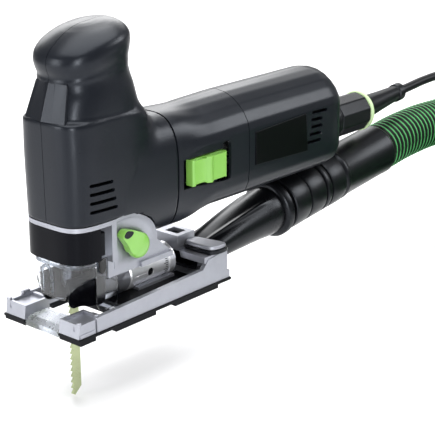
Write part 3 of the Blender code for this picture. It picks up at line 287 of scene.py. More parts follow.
def group(name, inputs, outputs):
    """An empty shader node group with float, colour or vector sockets."""
    tree = bpy.data.node_groups.new(name, "ShaderNodeTree")
    kinds = {"F": "NodeSocketFloat", "C": "NodeSocketColor", "V": "NodeSocketVector"}
    for label, kind, value in inputs:
        socket = tree.interface.new_socket(name=label, in_out="INPUT", socket_type=kinds[kind])
        if value is not None:
            socket.default_value = value
    for label, kind in outputs:
        tree.interface.new_socket(name=label, in_out="OUTPUT", socket_type=kinds[kind])
    return tree, tree.nodes.new("NodeGroupInput"), tree.nodes.new("NodeGroupOutput")


def noise(tree, place, scale, detail, roughness=0.5, scale_from=None):
    node = tree.nodes.new("ShaderNodeTexNoise")
    node.inputs["Scale"].default_value = scale
    node.inputs["Detail"].default_value = detail
    node.inputs["Roughness"].default_value = roughness
    tree.links.new(place, node.inputs["Vector"])
    if scale_from is not None:
        tree.links.new(scale_from, node.inputs["Scale"])
    return node.outputs["Fac"]


def sums(tree, operation, a, b):
    node = tree.nodes.new("ShaderNodeMath")
    node.operation = operation
    for socket, value in zip(node.inputs, (a, b)):
        if isinstance(value, (int, float)):
            socket.default_value = value
        else:
            tree.links.new(value, socket)
    return node.outputs[0]


def ranged(tree, value, low, high, to_low, to_high):
    node = tree.nodes.new("ShaderNodeMapRange")
    tree.links.new(value, node.inputs["Value"])
    for label, number in (("From Min", low), ("From Max", high), ("To Min", to_low), ("To Max", to_high)):
        if isinstance(number, (int, float)):
            node.inputs[label].default_value = number
        else:
            tree.links.new(number, node.inputs[label])
    return node.outputs["Result"]


def mixed(tree, share, a, b):
    node = tree.nodes.new("ShaderNodeMix")
    node.data_type = "RGBA"
    for socket, value in ((node.inputs["Factor"], share), (node.inputs["A"], a), (node.inputs["B"], b)):
        if isinstance(value, (int, float, tuple)):
            socket.default_value = value
        else:
            tree.links.new(value, socket)
    return node.outputs["Result"]


def toned(tree, colour, value, result):
    """The colour made lighter or darker by a value, as the group's own colour."""
    tone = tree.nodes.new("ShaderNodeHueSaturation")
    tree.links.new(colour, tone.inputs["Color"])
    tree.links.new(value, tone.inputs["Value"])
    tree.links.new(tone.outputs["Color"], result.inputs["Colour"])


def moulded_skin():
    """Fine moulded texture: a colour a little uneven, a roughness that varies and a spark-eroded relief."""
    inputs = [("Colour", "C", (0.5, 0.5, 0.5, 1)), ("Unevenness", "F", 0.15), ("Roughness", "F", 0.4),
              ("Grain size", "F", 900.0)]
    tree, given, result = group("moulded skin", inputs, GROUP_OUTPUTS)
    place = tree.nodes.new("ShaderNodeNewGeometry").outputs["Position"]
    broad = noise(tree, place, 38.0, 3.0)
    fine = noise(tree, place, 900.0, 2.0, 0.6, given.outputs["Grain size"])
    drift = sums(tree, "MULTIPLY", sums(tree, "SUBTRACT", broad, 0.5), given.outputs["Unevenness"])
    toned(tree, given.outputs["Colour"], sums(tree, "ADD", 1.0, drift), result)
    speckle = sums(tree, "MULTIPLY", sums(tree, "SUBTRACT", fine, 0.5), 0.12)
    rough = sums(tree, "ADD", given.outputs["Roughness"], speckle)
    rough = sums(tree, "ADD", rough, sums(tree, "MULTIPLY", drift, 0.5))
    tree.links.new(rough, result.inputs["Roughness"])
    tree.links.new(fine, result.inputs["Height"])
    return tree


def worked_metal():
    """Cast or ground metal: cloudy tone, faint pits and lines along one direction."""
    inputs = [("Colour", "C", (0.6, 0.6, 0.6, 1)), ("Roughness", "F", 0.35), ("Pits", "F", 0.5), ("Lines", "F", 0.2),
              ("Line stretch", "V", (1.0, 1.0, 12.0))]
    tree, given, result = group("worked metal", inputs, GROUP_OUTPUTS)
    place = tree.nodes.new("ShaderNodeNewGeometry").outputs["Position"]
    drawn = tree.nodes.new("ShaderNodeVectorMath")
    drawn.operation = "MULTIPLY"
    tree.links.new(place, drawn.inputs[0])
    tree.links.new(given.outputs["Line stretch"], drawn.inputs[1])
    lines = noise(tree, drawn.outputs[0], 260.0, 3.0, 0.6)
    cloud = noise(tree, place, 60.0, 4.0, 0.6)
    pits = noise(tree, place, 1100.0, 2.0, 0.7)
    toned(tree, given.outputs["Colour"], ranged(tree, cloud, 0.3, 0.7, 0.9, 1.06), result)
    rough = sums(tree, "ADD", given.outputs["Roughness"], ranged(tree, cloud, 0.3, 0.7, -0.05, 0.08))
    streaks = sums(tree, "MULTIPLY", sums(tree, "SUBTRACT", lines, 0.5), given.outputs["Lines"])
    rough = sums(tree, "ADD", rough, streaks)
    tree.links.new(rough, result.inputs["Roughness"])
    relief = sums(tree, "ADD", sums(tree, "MULTIPLY", pits, given.outputs["Pits"]),
                  sums(tree, "MULTIPLY", lines, given.outputs["Lines"]))
    tree.links.new(relief, result.inputs["Height"])
    return tree


SKIN = moulded_skin()
METAL = worked_metal()


def material(name):
    made = bpy.data.materials.new(name)
    made.use_nodes = True
    return made, made.node_tree, made.node_tree.nodes["Principled BSDF"]


def with_effect(tree, effect, values, shader):
    """A group with its values set, giving the shader its colour and its roughness."""
    node = tree.nodes.new("ShaderNodeGroup")
    node.node_tree = effect
    for label, value in values.items():
        node.inputs[label].default_value = value
    tree.links.new(node.outputs["Colour"], shader.inputs["Base Color"])
    tree.links.new(node.outputs["Roughness"], shader.inputs["Roughness"])
    return node


def plastic(name, colour, roughness, unevenness=0.15, relief=0.05, coat=0.0, specular=0.5):
    made, tree, shader = material(name)
    skin = with_effect(tree, SKIN, {"Colour": (*colour, 1), "Unevenness": unevenness, "Roughness": roughness,
                                    "Grain size": 900.0}, shader)
    shader.inputs["Coat Weight"].default_value = coat
    shader.inputs["Coat Roughness"].default_value = 0.25
    shader.inputs["Specular IOR Level"].default_value = specular
    shader.inputs["Specular Tint"].default_value = (0.84, 0.90, 1.0, 1)
    bump(tree, shader, skin.outputs["Height"], relief)
    return made


def metal(name, colour, roughness, metallic=1.0, pits=0.5, lines=0.2, stretch=(1.0, 1.0, 12.0), relief=0.06):
    made, tree, shader = material(name)
    worked = with_effect(tree, METAL, {"Colour": (*colour, 1), "Roughness": roughness, "Pits": pits, "Lines": lines,
                                       "Line stretch": stretch}, shader)
    shader.inputs["Metallic"].default_value = metallic
    bump(tree, shader, worked.outputs["Height"], relief)
    return made


def bump(tree, shader, height, strength):
    node = tree.nodes.new("ShaderNodeBump")
    node.inputs["Strength"].default_value = strength
    node.inputs["Distance"].default_value = 0.0004
    tree.links.new(height, node.inputs["Height"])
    tree.links.new(node.outputs["Normal"], shader.inputs["Normal"])


def clear(name, tint, roughness):
    """Clear moulded plastic with a faint tint."""
    made, tree, shader = material(name)
    with_effect(tree, SKIN, {"Colour": (*tint, 1), "Unevenness": 0.05, "Roughness": roughness, "Grain size": 400.0},
                shader)
    shader.inputs["Transmission Weight"].default_value = 1.0
    shader.inputs["IOR"].default_value = 1.42
    return made


FINISHES = {
    "charcoal": plastic("charcoal housing", (0.0055, 0.0066, 0.0095), 0.31, relief=0.10, specular=0.27),
    "black": plastic("black moulding", (0.0028, 0.0030, 0.0038), 0.30, specular=0.26, relief=0.05),
    "gloss": plastic("gloss black door", (0.002, 0.002, 0.003), 0.2, relief=0.02, specular=0.08),
    "sole": plastic("sole slide strip", (0.0015, 0.0015, 0.002), 0.45, relief=0.08, specular=0.12),
    "rubber": plastic("black rubber", (0.0030, 0.0032, 0.0040), 0.33, relief=0.09, specular=0.27),
    "lead": plastic("rubber lead sheath", (0.003, 0.003, 0.0035), 0.38, relief=0.04, specular=0.25),
    "green": plastic("green control", (0.200, 0.448, 0.075), 0.34, unevenness=0.1, coat=0.3),
    "pale green": plastic("pale green ring", (0.50, 0.66, 0.36), 0.42, unevenness=0.06),
    "plate": plastic("nameplate face", (0.001, 0.001, 0.0013), 0.35, relief=0.03, specular=0.12),
    "cast": metal("tumbled casting", (0.335, 0.345, 0.385), 0.38, metallic=0.75, pits=0.9, lines=0.04, relief=0.16),
    "steel": metal("machined steel", (0.50, 0.50, 0.52), 0.26, lines=0.3),
    "dark steel": metal("blued steel", (0.16, 0.165, 0.18), 0.3, lines=0.3),
    "blade": metal("lacquered blade", (0.42, 0.47, 0.27), 0.34, metallic=0.6, lines=0.35, stretch=(3.0, 1.0, 30.0)),
    "barrel": metal("ground barrel", (0.74, 0.75, 0.78), 0.34, metallic=0.7, pits=0.1, lines=0.12,
                    stretch=(22.0, 1.0, 1.0), relief=0.03),
    "copper": metal("copper segments", (0.75, 0.36, 0.2), 0.3, lines=0.3, stretch=(1.0, 12.0, 12.0)),
    "bronze": metal("oiled bronze", (0.48, 0.33, 0.15), 0.42, pits=1.0, lines=0.05),
    "clear": clear("clear guard", (0.80, 0.83, 0.87), 0.05),
    "frosted": clear("worn clear edge", (0.62, 0.65, 0.70), 0.28),
}


def coloured(piece, finish):
    piece.data.materials.clear()
    piece.data.materials.append(FINISHES[finish])
    return piece


def placed(piece, body, finish, slot, *stands_for):
    """The piece painted, riding on a body, and standing for the frame's own solids."""
    coloured(piece, finish)
    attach(piece, body)
    if stands_for:
        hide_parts(*stands_for)
    return piece


# ------------------------------------------------------------------ camera, light and floor
def camera_and_light():
    heading, pitch = math.radians(40.72), math.radians(18.81)
    ahead = Vector((math.cos(heading) * math.cos(pitch), math.sin(heading) * math.cos(pitch), -math.sin(pitch)))
    right = Vector((math.sin(heading), -math.cos(heading), 0))
    up = right.cross(ahead)
    lens = bpy.data.cameras.new("camera")
    lens.lens, lens.sensor_width = 110.7, 36.0
    lens.clip_start, lens.clip_end = 0.01, 50.0
    camera = bpy.data.objects.new("camera", lens)
    bpy.context.scene.collection.objects.link(camera)
    turn = Matrix((right, up, -ahead)).transposed().to_4x4()
    camera.matrix_world = Matrix.Translation(at(-531.9, -577.8, 333.7)) @ turn
    bpy.context.scene.camera = camera

    world = bpy.data.worlds.new("studio")
    world.use_nodes = True
    backdrop = world.node_tree.nodes["Background"]
    backdrop.inputs["Color"].default_value = (1.0, 1.0, 1.0, 1)
    backdrop.inputs["Strength"].default_value = 0.3
    bpy.context.scene.world = world
    bpy.context.scene.view_settings.view_transform = "Standard"
    lamp("top softbox", (100, 0, 1150), (100, 0, 0), (1.5, 1.2), 23.0)
    lamp("far softbox", (2300, 2100, 1700), (2300, 2100, 0), (3.2, 3.2), 60.0)
    lamp("front softbox", (-800, -870, 250), (0, 0, 80), (0.22, 0.6), 8.0)
    lamp("nose softbox", (-1100, 420, 330), (0, 0, 110), (0.5, 0.6), 7.0)
    lamp("side softbox", (1000, -700, 650), (150, 0, 80), (0.5, 0.5), 6.0)
    lamp("back softbox", (700, 900, 550), (100, 0, 80), (1.0, 0.5), 5.0)

    made, tree, shader = material("studio floor")
    with_effect(tree, SKIN, {"Colour": (0.92, 0.92, 0.93, 1), "Unevenness": 0.01, "Roughness": 0.6,
                             "Grain size": 300.0}, shader)
    low = SURFACE_Z - 0.3
    far = 6000
    floor = piece_from("studio_floor", [(-far, -far, low), (far, -far, low), (far, far, low), (-far, far, low)],
                       [(0, 1, 2, 3)])
    floor.data.materials.append(made)


def lamp(name, place, target, size, power):
    light = bpy.data.lights.new(name, "AREA")
    light.shape = "RECTANGLE"
    light.size, light.size_y = size
    light.energy = power
    holder = bpy.data.objects.new(name, light)
    bpy.context.scene.collection.objects.link(holder)
    aim = at(*target) - at(*place)
    holder.matrix_world = Matrix.Translation(at(*place)) @ aim.to_track_quat("-Z", "Y").to_matrix().to_4x4()


# ------------------------------------------------------------------ suction hose and lead
def smooth_path(route, step):
    """Points a step apart along a smooth curve through the route's points."""
    route = [Vector(p) for p in route]
    padded = [2 * route[0] - route[1]] + route + [2 * route[-1] - route[-2]]
    fine = []
    for k in range(1, len(padded) - 2):
        p0, p1, p2, p3 = padded[k - 1:k + 3]
        for i in range(20):
            t = i / 20
            fine.append(0.5 * (2 * p1 + (p2 - p0) * t + (2 * p0 - 5 * p1 + 4 * p2 - p3) * t * t
                               + (3 * p1 - p0 - 3 * p2 + p3) * t ** 3))
    fine.append(route[-1])
    place = np.array(fine)
    run = np.concatenate([[0], np.cumsum(np.linalg.norm(np.diff(place, axis=0), axis=1))])
    where = np.linspace(0, run[-1], max(2, round(run[-1] / step) + 1))
    return np.stack([np.interp(where, run, place[:, k]) for k in range(3)], 1)


def along(path):
    """Running length, and two cross directions carried along the path without twist."""
    run = np.concatenate([[0], np.cumsum(np.linalg.norm(np.diff(path, axis=0), axis=1))])
    ahead = np.gradient(path, axis=0)
    ahead /= np.linalg.norm(ahead, axis=1)[:, None]
    up = np.array([0.0, 0.0, 1.0]) if abs(ahead[0][2]) < 0.9 else np.array([1.0, 0.0, 0.0])
    sides, ups = [], []
    for direction in ahead:
        up = up - direction * (up @ direction)
        up /= np.linalg.norm(up)
        ups.append(up)
        sides.append(np.cross(direction, up))
    return run, np.array(sides), np.array(ups)


def tube_skin(name, path, steps, radius_at):
    """A round skin along a path; its radius comes from the running length and the angle."""
    run, sides, ups = along(path)
    turn = 2 * np.pi * np.arange(steps) / steps
    radius = np.broadcast_to(radius_at(run[:, None], turn[None, :]), (len(path), steps))
    points = path[:, None, :] + radius[..., None] * (np.cos(turn)[None, :, None] * sides[:, None, :]
                                                     + np.sin(turn)[None, :, None] * ups[:, None, :])
    return loft(name, [[tuple(p) for p in ring] for ring in points], 60.0)


def hose_path():
    onward = np.array([1, 0, TUBE_RISE]) / math.hypot(1, TUBE_RISE)
    start = np.array([TUBE_END_X, 0, TUBE_END_Z]) + onward * HOSE_START
    top = SURFACE_Z + 5 * HOSE_R
    route = [start, start + onward * 15, start + onward * 32, (398, 0, 45.2), (430, 0, 44.2), (465, 0, top + 0.4),
             (500, 0, top)]
    turns, points_a_turn = 2.5, 48
    for k in range(int(turns * points_a_turn) + 1):
        t = k / points_a_turn
        angle = math.pi / 2 - 2 * math.pi * t
        whole, part = divmod(t, 1.0)
        level = whole + min(1.0, max(0.0, (part - 0.5) / 0.5))
        eased = whole + 0.5 - 0.5 * math.cos(math.pi * (level - whole))
        route.append((COIL_X + COIL_R * math.cos(angle), COIL_Y + COIL_R * math.sin(angle), top - 2 * HOSE_R * eased))
    tail_y, low = COIL_Y - COIL_R, SURFACE_Z + HOSE_R
    route += [(x, tail_y, low) for x in (500, 465, 430, 395, 360, 330.0)]
    return route


def hose():
    """The ribbed hose: dark between raised green ribs that wind round it, put away in a coil."""
    keep = smooth_path(hose_path(), HOSE_PITCH / 5)

    def wave(run, turn):
        return np.cos(2 * np.pi * run / HOSE_PITCH - turn)

    piece = tube_skin("suction_hose", keep, HOSE_SIDES,
                      lambda run, turn: HOSE_R - 1.6 + 1.55 * np.clip(0.35 + 0.9 * wave(run, turn), 0, 1))
    rib = piece.data.attributes.new("rib", "FLOAT", "POINT")
    turn = 2 * np.pi * np.arange(HOSE_SIDES) / HOSE_SIDES
    share = np.clip(0.5 + 0.9 * wave(along(keep)[0][:, None], turn[None, :]), 0, 1)
    rib.data.foreach_set("value", share.astype(np.float32).ravel())
    piece.data.materials.append(hose_finish())
    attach(piece, "base")
    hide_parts("hose", "hose_coil", "hose_tail")


def hose_finish():
    made, tree, shader = material("ribbed hose")
    attribute = tree.nodes.new("ShaderNodeAttribute")
    attribute.attribute_name = "rib"
    skin = with_effect(tree, SKIN, {"Colour": (0.003, 0.005, 0.004, 1), "Unevenness": 0.3, "Roughness": 0.5,
                                    "Grain size": 700.0}, shader)
    share = ranged(tree, attribute.outputs["Fac"], 0.80, 0.99, 0.0, 1.0)
    colour = mixed(tree, share, skin.outputs["Colour"], (0.075, 0.34, 0.11, 1))
    tree.links.new(colour, shader.inputs["Base Color"])
    shader.inputs["Specular IOR Level"].default_value = 0.2
    bump(tree, shader, skin.outputs["Height"], 0.08)
    return made


def lead_path():
    """From the bend relief over the hose, then round a coil of four layers and out to the plug."""
    route = [LEAD_START, (380, 0, 83), (402, 0, 84.6), (426, -1, 85.0), (446, -5, 82.5), (462, -12, 77),
             (475, -21, 69.5), (486, -32, 58), (493, -43, 40), (498, -52, 18), (503, -59, -2), (511, -66, -17),
             (524, -75, -25), (538, -86, -27.1), (551, -101, -27.1), (558.8, -118, -27.1)]
    pitch = 2 * LEAD_R
    levels, across, points_a_turn = 4, 4, 20
    outer = LEAD_COIL_R + 1.5 * pitch
    slots = []
    for level in range(levels - 1, -1, -1):
        order = range(across) if (levels - 1 - level) % 2 == 0 else range(across - 1, -1, -1)
        slots += [(outer - pitch * k, SURFACE_Z + LEAD_R + pitch * level) for k in order]
    slots = slots[:3] + slots[5:]                        # the innermost place stays free in the two top layers
    for (radius, height), (next_radius, next_height) in zip(slots, slots[1:] + slots[-1:]):
        for k in range(points_a_turn):
            part = k / points_a_turn
            share = min(1.0, max(0.0, (part - 0.7) / 0.3))
            share = 0.5 - 0.5 * math.cos(math.pi * share)
            r = radius + (next_radius - radius) * share
            z = height + (next_height - height) * share
            angle = -2 * math.pi * part
            route.append((LEAD_COIL_X + r * math.cos(angle), LEAD_COIL_Y + r * math.sin(angle), z))
    height = slots[-1][1]
    route += [(LEAD_COIL_X + outer, LEAD_COIL_Y + y, height + rise)
              for y, rise in ((-3, 0), (-14, 1.2), (-24, 4.4), (-33.6, 5.9))]
    return route


def lead():
    """The rubber lead from the bend relief, over the coiled hose and into its own coil."""
    path = smooth_path(lead_path(), 4.0)
    piece = tube_skin("mains_lead", path, 14, lambda run, turn: LEAD_R)
    coloured(piece, "lead")
    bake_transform(piece)
    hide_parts("cable", "cable_coil")


# ------------------------------------------------------------------ housings
COLUMN_STATIONS = [  # height, lean, back from the front, back face, in from the half width, squareness
    (69.4, 0.0, 0.5, 48.0, 0.7, 4.0),
    (90.0, 0.0, 0.1, 48.6, 0.3, 4.0),
    (112.0, 0.0, -0.2, 49.5, 0.0, 4.0),
    (126.0, 0.0, -0.4, 53.0, 0.0, 3.9),
    (131.5, 0.0, -0.5, 50.6, 0.1, 3.8),
    (132.6, 0.0, -0.2, 50.2, 0.3, 3.6),
    (134.0, 0.0, 1.9, 49.5, 1.0, 2.95),
    (138.0, 0.01, 2.6, 48.2, 1.2, 2.85),
    (147.0, 0.06, 4.9, 45.6, 2.0, 2.7),
    (154.0, 0.12, 7.0, 43.3, 3.0, 2.5),
    (157.5, 0.14, 7.3, 42.7, 3.2, 2.45),
    (160.0, 0.16, 7.2, 42.6, 2.8, 2.45),
    (162.2, 0.18, 7.7, 42.6, 2.9, 2.45),
    (164.6, 0.20, 7.1, 42.9, 2.4, 2.45),
    (168.0, 0.21, 5.9, 43.6, 1.5, 2.4),
    (172.0, 0.21, 5.2, 44.1, 1.0, 2.35),
    (175.2, 0.20, 5.9, 44.0, 1.2, 2.3),
    (178.4, 0.19, 8.8, 42.7, 2.7, 2.25),
    (182.0, 0.17, 15.2, 39.8, 6.8, 2.2),
    (184.7, 0.15, 22.0, 36.0, 12.2, 2.15),
    (186.1, 0.13, 28.0, 31.0, 17.7, 2.1),
    (186.7, 0.12, 32.0, 26.5, 22.6, 2.0),
]
LEAN_CENTRE = 13.0
NECK_TOP = 122.5
NECK_HALF = 26.6
REAR_STATIONS = [(SEAM_REAR + SEAM_GAP / 2, 0.0), (150.0, 0.0), (232.0, 0.0), (240.0, 0.9), (245.0, 3.0), (249.5, 6.6),
                 (252.6, 10.6), (MOTOR_BACK, 14.5)]
SWITCH_STATIONS = [(SEAM_FRONT, NECK_LOW, NECK_TOP, NECK_HALF), (80.0, 45.0, 122.6, 27.0), (90.0, 47.5, 122.9, 27.6),
                   (98.0, 51.0, 123.2, 28.2), (108.0, MOTOR_LOW, 123.6, 28.8),
                   (SEAM_REAR, MOTOR_LOW, MOTOR_TOP, MOTOR_HALF)]
LOBE = [(9.8, 29.8), (9.8, 66.7), (20.0, 68.1), (31.0, 68.1), (40.0, 65.7), (48.0, 61.1), (52.5, 55.6), (55.0, 48.6),
        (55.0, 44.5), (67.7, 34.2), (67.7, 29.8)]
SCREW_PLACES = [(31.0, 150.0), (62.0, 111.0), (62.0, 62.0)]
BLEND_REACH = 26.0               # how far the hollow behind the knob is filled


def column(name, inset=0.0, drop=0.0, steps=120, count=132):
    """The upright front of the tool; with an inset, the hollow in it, which stops below the top."""
    rings = []
    for height, lean, set_back, back, set_in, squareness in spread(COLUMN_STATIONS, steps):
        if inset and height > 184:
            break
        front = COLUMN_FRONT + set_back
        outline = rounded((front + back) / 2, 0, (back - front) / 2 - inset, COLUMN_HALF - set_in - inset, squareness,
                          count)
        rings.append([(x, y, height + lean * (x - LEAN_CENTRE)) for x, y in outline])
    if drop:
        rings.insert(0, [(x, y, z - drop) for x, y, z in rings[0]])
    return loft(name, rings)


def smooth_step(low, high, value):
    t = min(1.0, max(0.0, (value - low) / (high - low)))
    return t * t * (3 - 2 * t)


def barrel_ring(x, low, top, half, inset, count=168):
    """A slice of the housings behind the column: rounded at first, then with a crease under its crown."""
    middle = (low + top) / 2
    creased = smooth_step(76.0, 104.0, x)
    turns = np.linspace(-np.pi, np.pi, count, endpoint=False)
    plain = np.array(rounded(0, middle, half - inset, (top - low) / 2 - inset, 3.0, 720))
    side = [(0.0, low), (half - 15.0, low), (half - 8.0, low + 1.6), (half - 3.0, low + 5.6), (half - 0.6, low + 11.5),
            (half, low + 19.0), (half + 0.1, (low + top) / 2), (half - 0.1, top - 24.0), (half - 1.3, top - 18.5),
            (half - 5.0, top - 12.3), (half - 10.0, top - 7.2), (half - 16.0, top - 3.2), (half - 22.0, top - 0.9),
            (0.0, top)]
    edge = np.array(side)
    centre = np.array([0.0, middle])
    edge = centre + (edge - centre) * (1 - inset / np.maximum(12.0, np.linalg.norm(edge - centre, axis=1)))[:, None]
    full = np.concatenate([edge, edge[::-1][1:-1] * np.array([-1.0, 1.0])])

    def reach(outline):
        off = outline - centre
        turn = np.arctan2(off[:, 1], off[:, 0])
        order = np.argsort(turn)
        turn, away = turn[order], np.linalg.norm(off, axis=1)[order]
        fine_turn = np.concatenate([turn - 2 * np.pi, turn, turn + 2 * np.pi])
        fine_away = np.concatenate([away, away, away])
        flat = np.stack([fine_away * np.cos(fine_turn), fine_away * np.sin(fine_turn)], 1)
        result = []
        for t in turns:
            k = np.searchsorted(fine_turn, t) - 1
            p, q = flat[k], flat[k + 1]
            d = np.array([math.cos(t), math.sin(t)])
            cross = d[0] * (q - p)[1] - d[1] * (q - p)[0]
            result.append((p[0] * (q - p)[1] - p[1] * (q - p)[0]) / cross)
        return np.array(result)

    away = (1 - creased) * reach(plain) + creased * reach(full)
    return [(x, float(r * math.cos(t)), float(middle + r * math.sin(t))) for r, t in zip(away, turns)]


def filled_hollow(piece):
    """The sharp inner corner behind the knob filled with one broad curve, and nothing else moved."""
    mesh = piece.data
    place = np.empty(len(mesh.vertices) * 3, np.float32)
    mesh.vertices.foreach_get("co", place)
    place = place.reshape(-1, 3).astype(float) / MM
    normal = np.empty(len(mesh.vertices) * 3, np.float32)
    mesh.vertices.foreach_get("normal", normal)
    normal = normal.reshape(-1, 3)
    x, y, z = place[:, 0] + SOLE_MIDDLE, place[:, 1], place[:, 2]
    away = np.hypot(x - 53.0, z - NECK_TOP + 6.0 * (np.abs(y) / NECK_HALF) ** 3)
    share = np.clip(1.25 * (1 - away / BLEND_REACH), 0, 1) * np.clip((69.0 - x) / 6.0, 0, 1)
    edges = np.empty(len(mesh.edges) * 2, np.int32)
    mesh.edges.foreach_get("vertices", edges)
    a, b = edges.reshape(-1, 2).T
    count = np.bincount(a, minlength=len(place)) + np.bincount(b, minlength=len(place))
    near = share > 0
    keep = near[a] | near[b]
    a, b = a[keep], b[keep]
    now = place.copy()
    for _ in range(700):
        mean = np.stack([np.bincount(a, now[b, k], len(place)) + np.bincount(b, now[a, k], len(place))
                         for k in range(3)], 1)
        mean[near] /= count[near, None]
        now[near] += (mean[near] - now[near]) * share[near, None] * 0.9
        sunk = ((now - place) * normal).sum(1) < 0
        now[sunk] = place[sunk]
    mesh.vertices.foreach_set("co", (now * MM).astype(np.float32).ravel())
    mesh.update()


def slot_tool(front, back, z, height):
    """A rounded slot right across a housing, falling a little to the back."""
    fall, r = 0.6, height / 2
    outline = []
    for centre, first in (((back - r, z - fall + r), -90), ((front + r, z + r), 90)):
        for k in range(7):
            turn = math.radians(first + 30 * k)
            outline.append((centre[0] + r * math.cos(turn), centre[1] + r * math.sin(turn)))
    return prism("slot", outline, "Y", -60, 60)


def front_shells():
    outer = column("front_housing")
    neck = (NECK_LOW, NECK_TOP, NECK_HALF)
    joined(outer, loft("neck", [barrel_ring(x, *neck, 0) for x in (22.0, 40.0, 56.0, SEAM_FRONT - SEAM_GAP / 2)]))
    grid = outer.modifiers.new("even mesh", "REMESH")
    grid.mode, grid.voxel_size = "VOXEL", 1.0 * MM
    settled(outer)
    filled_hollow(outer)
    facet = [[(-20.9, 0, 133.0), (-17.6, -17.2, 133.0), (0, -17.2, 133.0), (0, 17.2, 133.0), (-17.6, 17.2, 133.0)],
             [(-13.4, 0, 155.0), (-10.9, -13.4, 155.0), (5, -13.4, 155.0), (5, 13.4, 155.0), (-10.9, 13.4, 155.0)],
             [(-8.0, 0, 160.0), (-5.0, -9.0, 160.0), (5, -9.0, 160.0), (5, 9.0, 160.0), (-5.0, 9.0, 160.0)]]
    joined(outer, loft("front facets", facet))
    hollow = column("hollow", SHELL, 12.0, 30, 48)
    cut(outer, joined(hollow, loft("hollow neck", [barrel_ring(x, *neck, SHELL, 48) for x in (22.0, SEAM_FRONT + 5)])))
    cut(outer, prism("arch", eased(LOBE, (0, 1, 8, 9, 10)), "Y", -60, 60))
    under = [(-29.7, 20.0), (33.0, 20.0), (33.0, 68.7), (18.0, COLUMN_LOW + 0.06), (-29.7, COLUMN_LOW + 0.06)]
    cut(outer, prism("under", under, "Y", -60, 60))
    for row in range(4):
        cut(outer, slot_tool(-7.0, 15.6 - 1.2 * row, 76.8 + 5.6 * row, 2.2))
    for x, z in SCREW_PLACES:
        cut(outer, rod("screw hole", 3.6, 60, (x, 16, z), ACROSS, 32))
    right = outer.copy()
    right.data = outer.data.copy()
    bpy.context.scene.collection.objects.link(right)
    outer.name, right.name = "left_shell_skin", "right_shell_skin"
    far = 400.0
    cut(outer, block("half", (-far, -SPLIT_GAP / 2, -far), (far, far, far)))
    sweep = [(KNOB_X, KNOB_Z)] + [(KNOB_X + LEVER_REACH * math.cos(math.radians(angle)),
                                   KNOB_Z + LEVER_REACH * math.sin(math.radians(angle))) for angle in range(82, 151, 4)]
    cut(outer, prism("lever sweep", sweep, "Y", -62.0, -22.6))
    cut(right, block("half", (-far, -far, -far), (far, SPLIT_GAP / 2, far)))
    for piece, node in ((outer, "left_shell"), (right, "right_shell")):
        placed(piece, "head", "charcoal", "charcoal_housing", node)
        shade(piece, 32.0)
        softened(piece, 0.35, 50.0, 2)


def switch_housing():
    stations = spread(SWITCH_STATIONS, 26)
    stations[0] = (stations[0][0] + SEAM_GAP / 2,) + stations[0][1:]
    stations[-1] = (stations[-1][0] - SEAM_GAP / 2,) + stations[-1][1:]
    piece = loft("switch_housing_skin", [barrel_ring(x, low, top, half, 0) for x, low, top, half in stations], 30.0)
    rings = [barrel_ring(x, low, top, half, SHELL, 48) for x, low, top, half in SWITCH_STATIONS]
    first, last = [(x - 5, y, z) for x, y, z in rings[0]], [(x + 5, y, z) for x, y, z in rings[-1]]
    cut(piece, loft("hollow", [first] + rings + [last]))
    recess = [(74.0, 75.7), (77.0, 73.6), (116.0, 70.9), (118.8, 71.6), (119.5, 74.0), (119.5, 95.5), (118.6, 97.3),
              (116.5, 98.1), (97.5, 98.6), (94.0, 98.0), (75.6, 93.8), (74.0, 92.0)]
    cut(piece, prism("recess", recess, "Y", SWITCH_FACE - 20, SWITCH_FACE + 1.6),
        block("window", (75.5, SWITCH_FACE - 20, 72.9), (116.5, SWITCH_FACE + 12, 92.7)))
    placed(piece, "head", "charcoal", "charcoal_housing", "switch_housing")
    softened(piece, 0.45, 45.0, 3)


def motor_housing():
    stations = spread(REAR_STATIONS, 60)
    size = (MOTOR_LOW, MOTOR_TOP, MOTOR_HALF)
    piece = loft("motor_housing_skin", [barrel_ring(x, *size, inset) for x, inset in stations], 30.0)
    inner = [(SEAM_REAR - 5, SHELL)] + [(x - SHELL, inset + SHELL) for x, inset in REAR_STATIONS[1:]]
    cut(piece, loft("hollow", [barrel_ring(x, *size, inset, 48) for x, inset in inner]))
    for row, (front, back) in enumerate(((199, 219), (205, 219), (207, 220.5), (207, 220.5), (208, 226))):
        cut(piece, slot_tool(front, back, 77.0 + 5.2 * row, 2.3))
    cut(piece, rod("socket hole", 9.3, 20, (246, 0, LEAD_Z), BACKWARD, 48))
    cut(piece, block("dial slot", (216, 21.9, 99.2), (236, 39.4, 104.8)))
    placed(piece, "head", "charcoal", "charcoal_housing", "motor_housing")
    softened(piece, 0.4, 45.0, 2)


# ------------------------------------------------------------------ gear case, barrel and guards
def taken(node, name):
    """A copy of one of the frame's own solids, to be worked on and put in its place."""
    piece = bpy.data.objects.new(name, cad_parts[node].data.copy())
    bpy.context.scene.collection.objects.link(piece)
    return piece


def eased(outline, sharp=(), rounds=3):
    """The outline with its corners cut round, apart from those named."""
    points = [(p, k in sharp) for k, p in enumerate(outline)]
    for _ in range(rounds):
        fresh = []
        for k, (p, hard) in enumerate(points):
            if hard:
                fresh.append((p, True))
                continue
            before, after = points[k - 1][0], points[(k + 1) % len(points)][0]
            fresh.append((((before[0] + 3 * p[0]) / 4, (before[1] + 3 * p[1]) / 4), False))
            fresh.append((((after[0] + 3 * p[0]) / 4, (after[1] + 3 * p[1]) / 4), False))
        points = fresh
    return [p for p, _ in points]


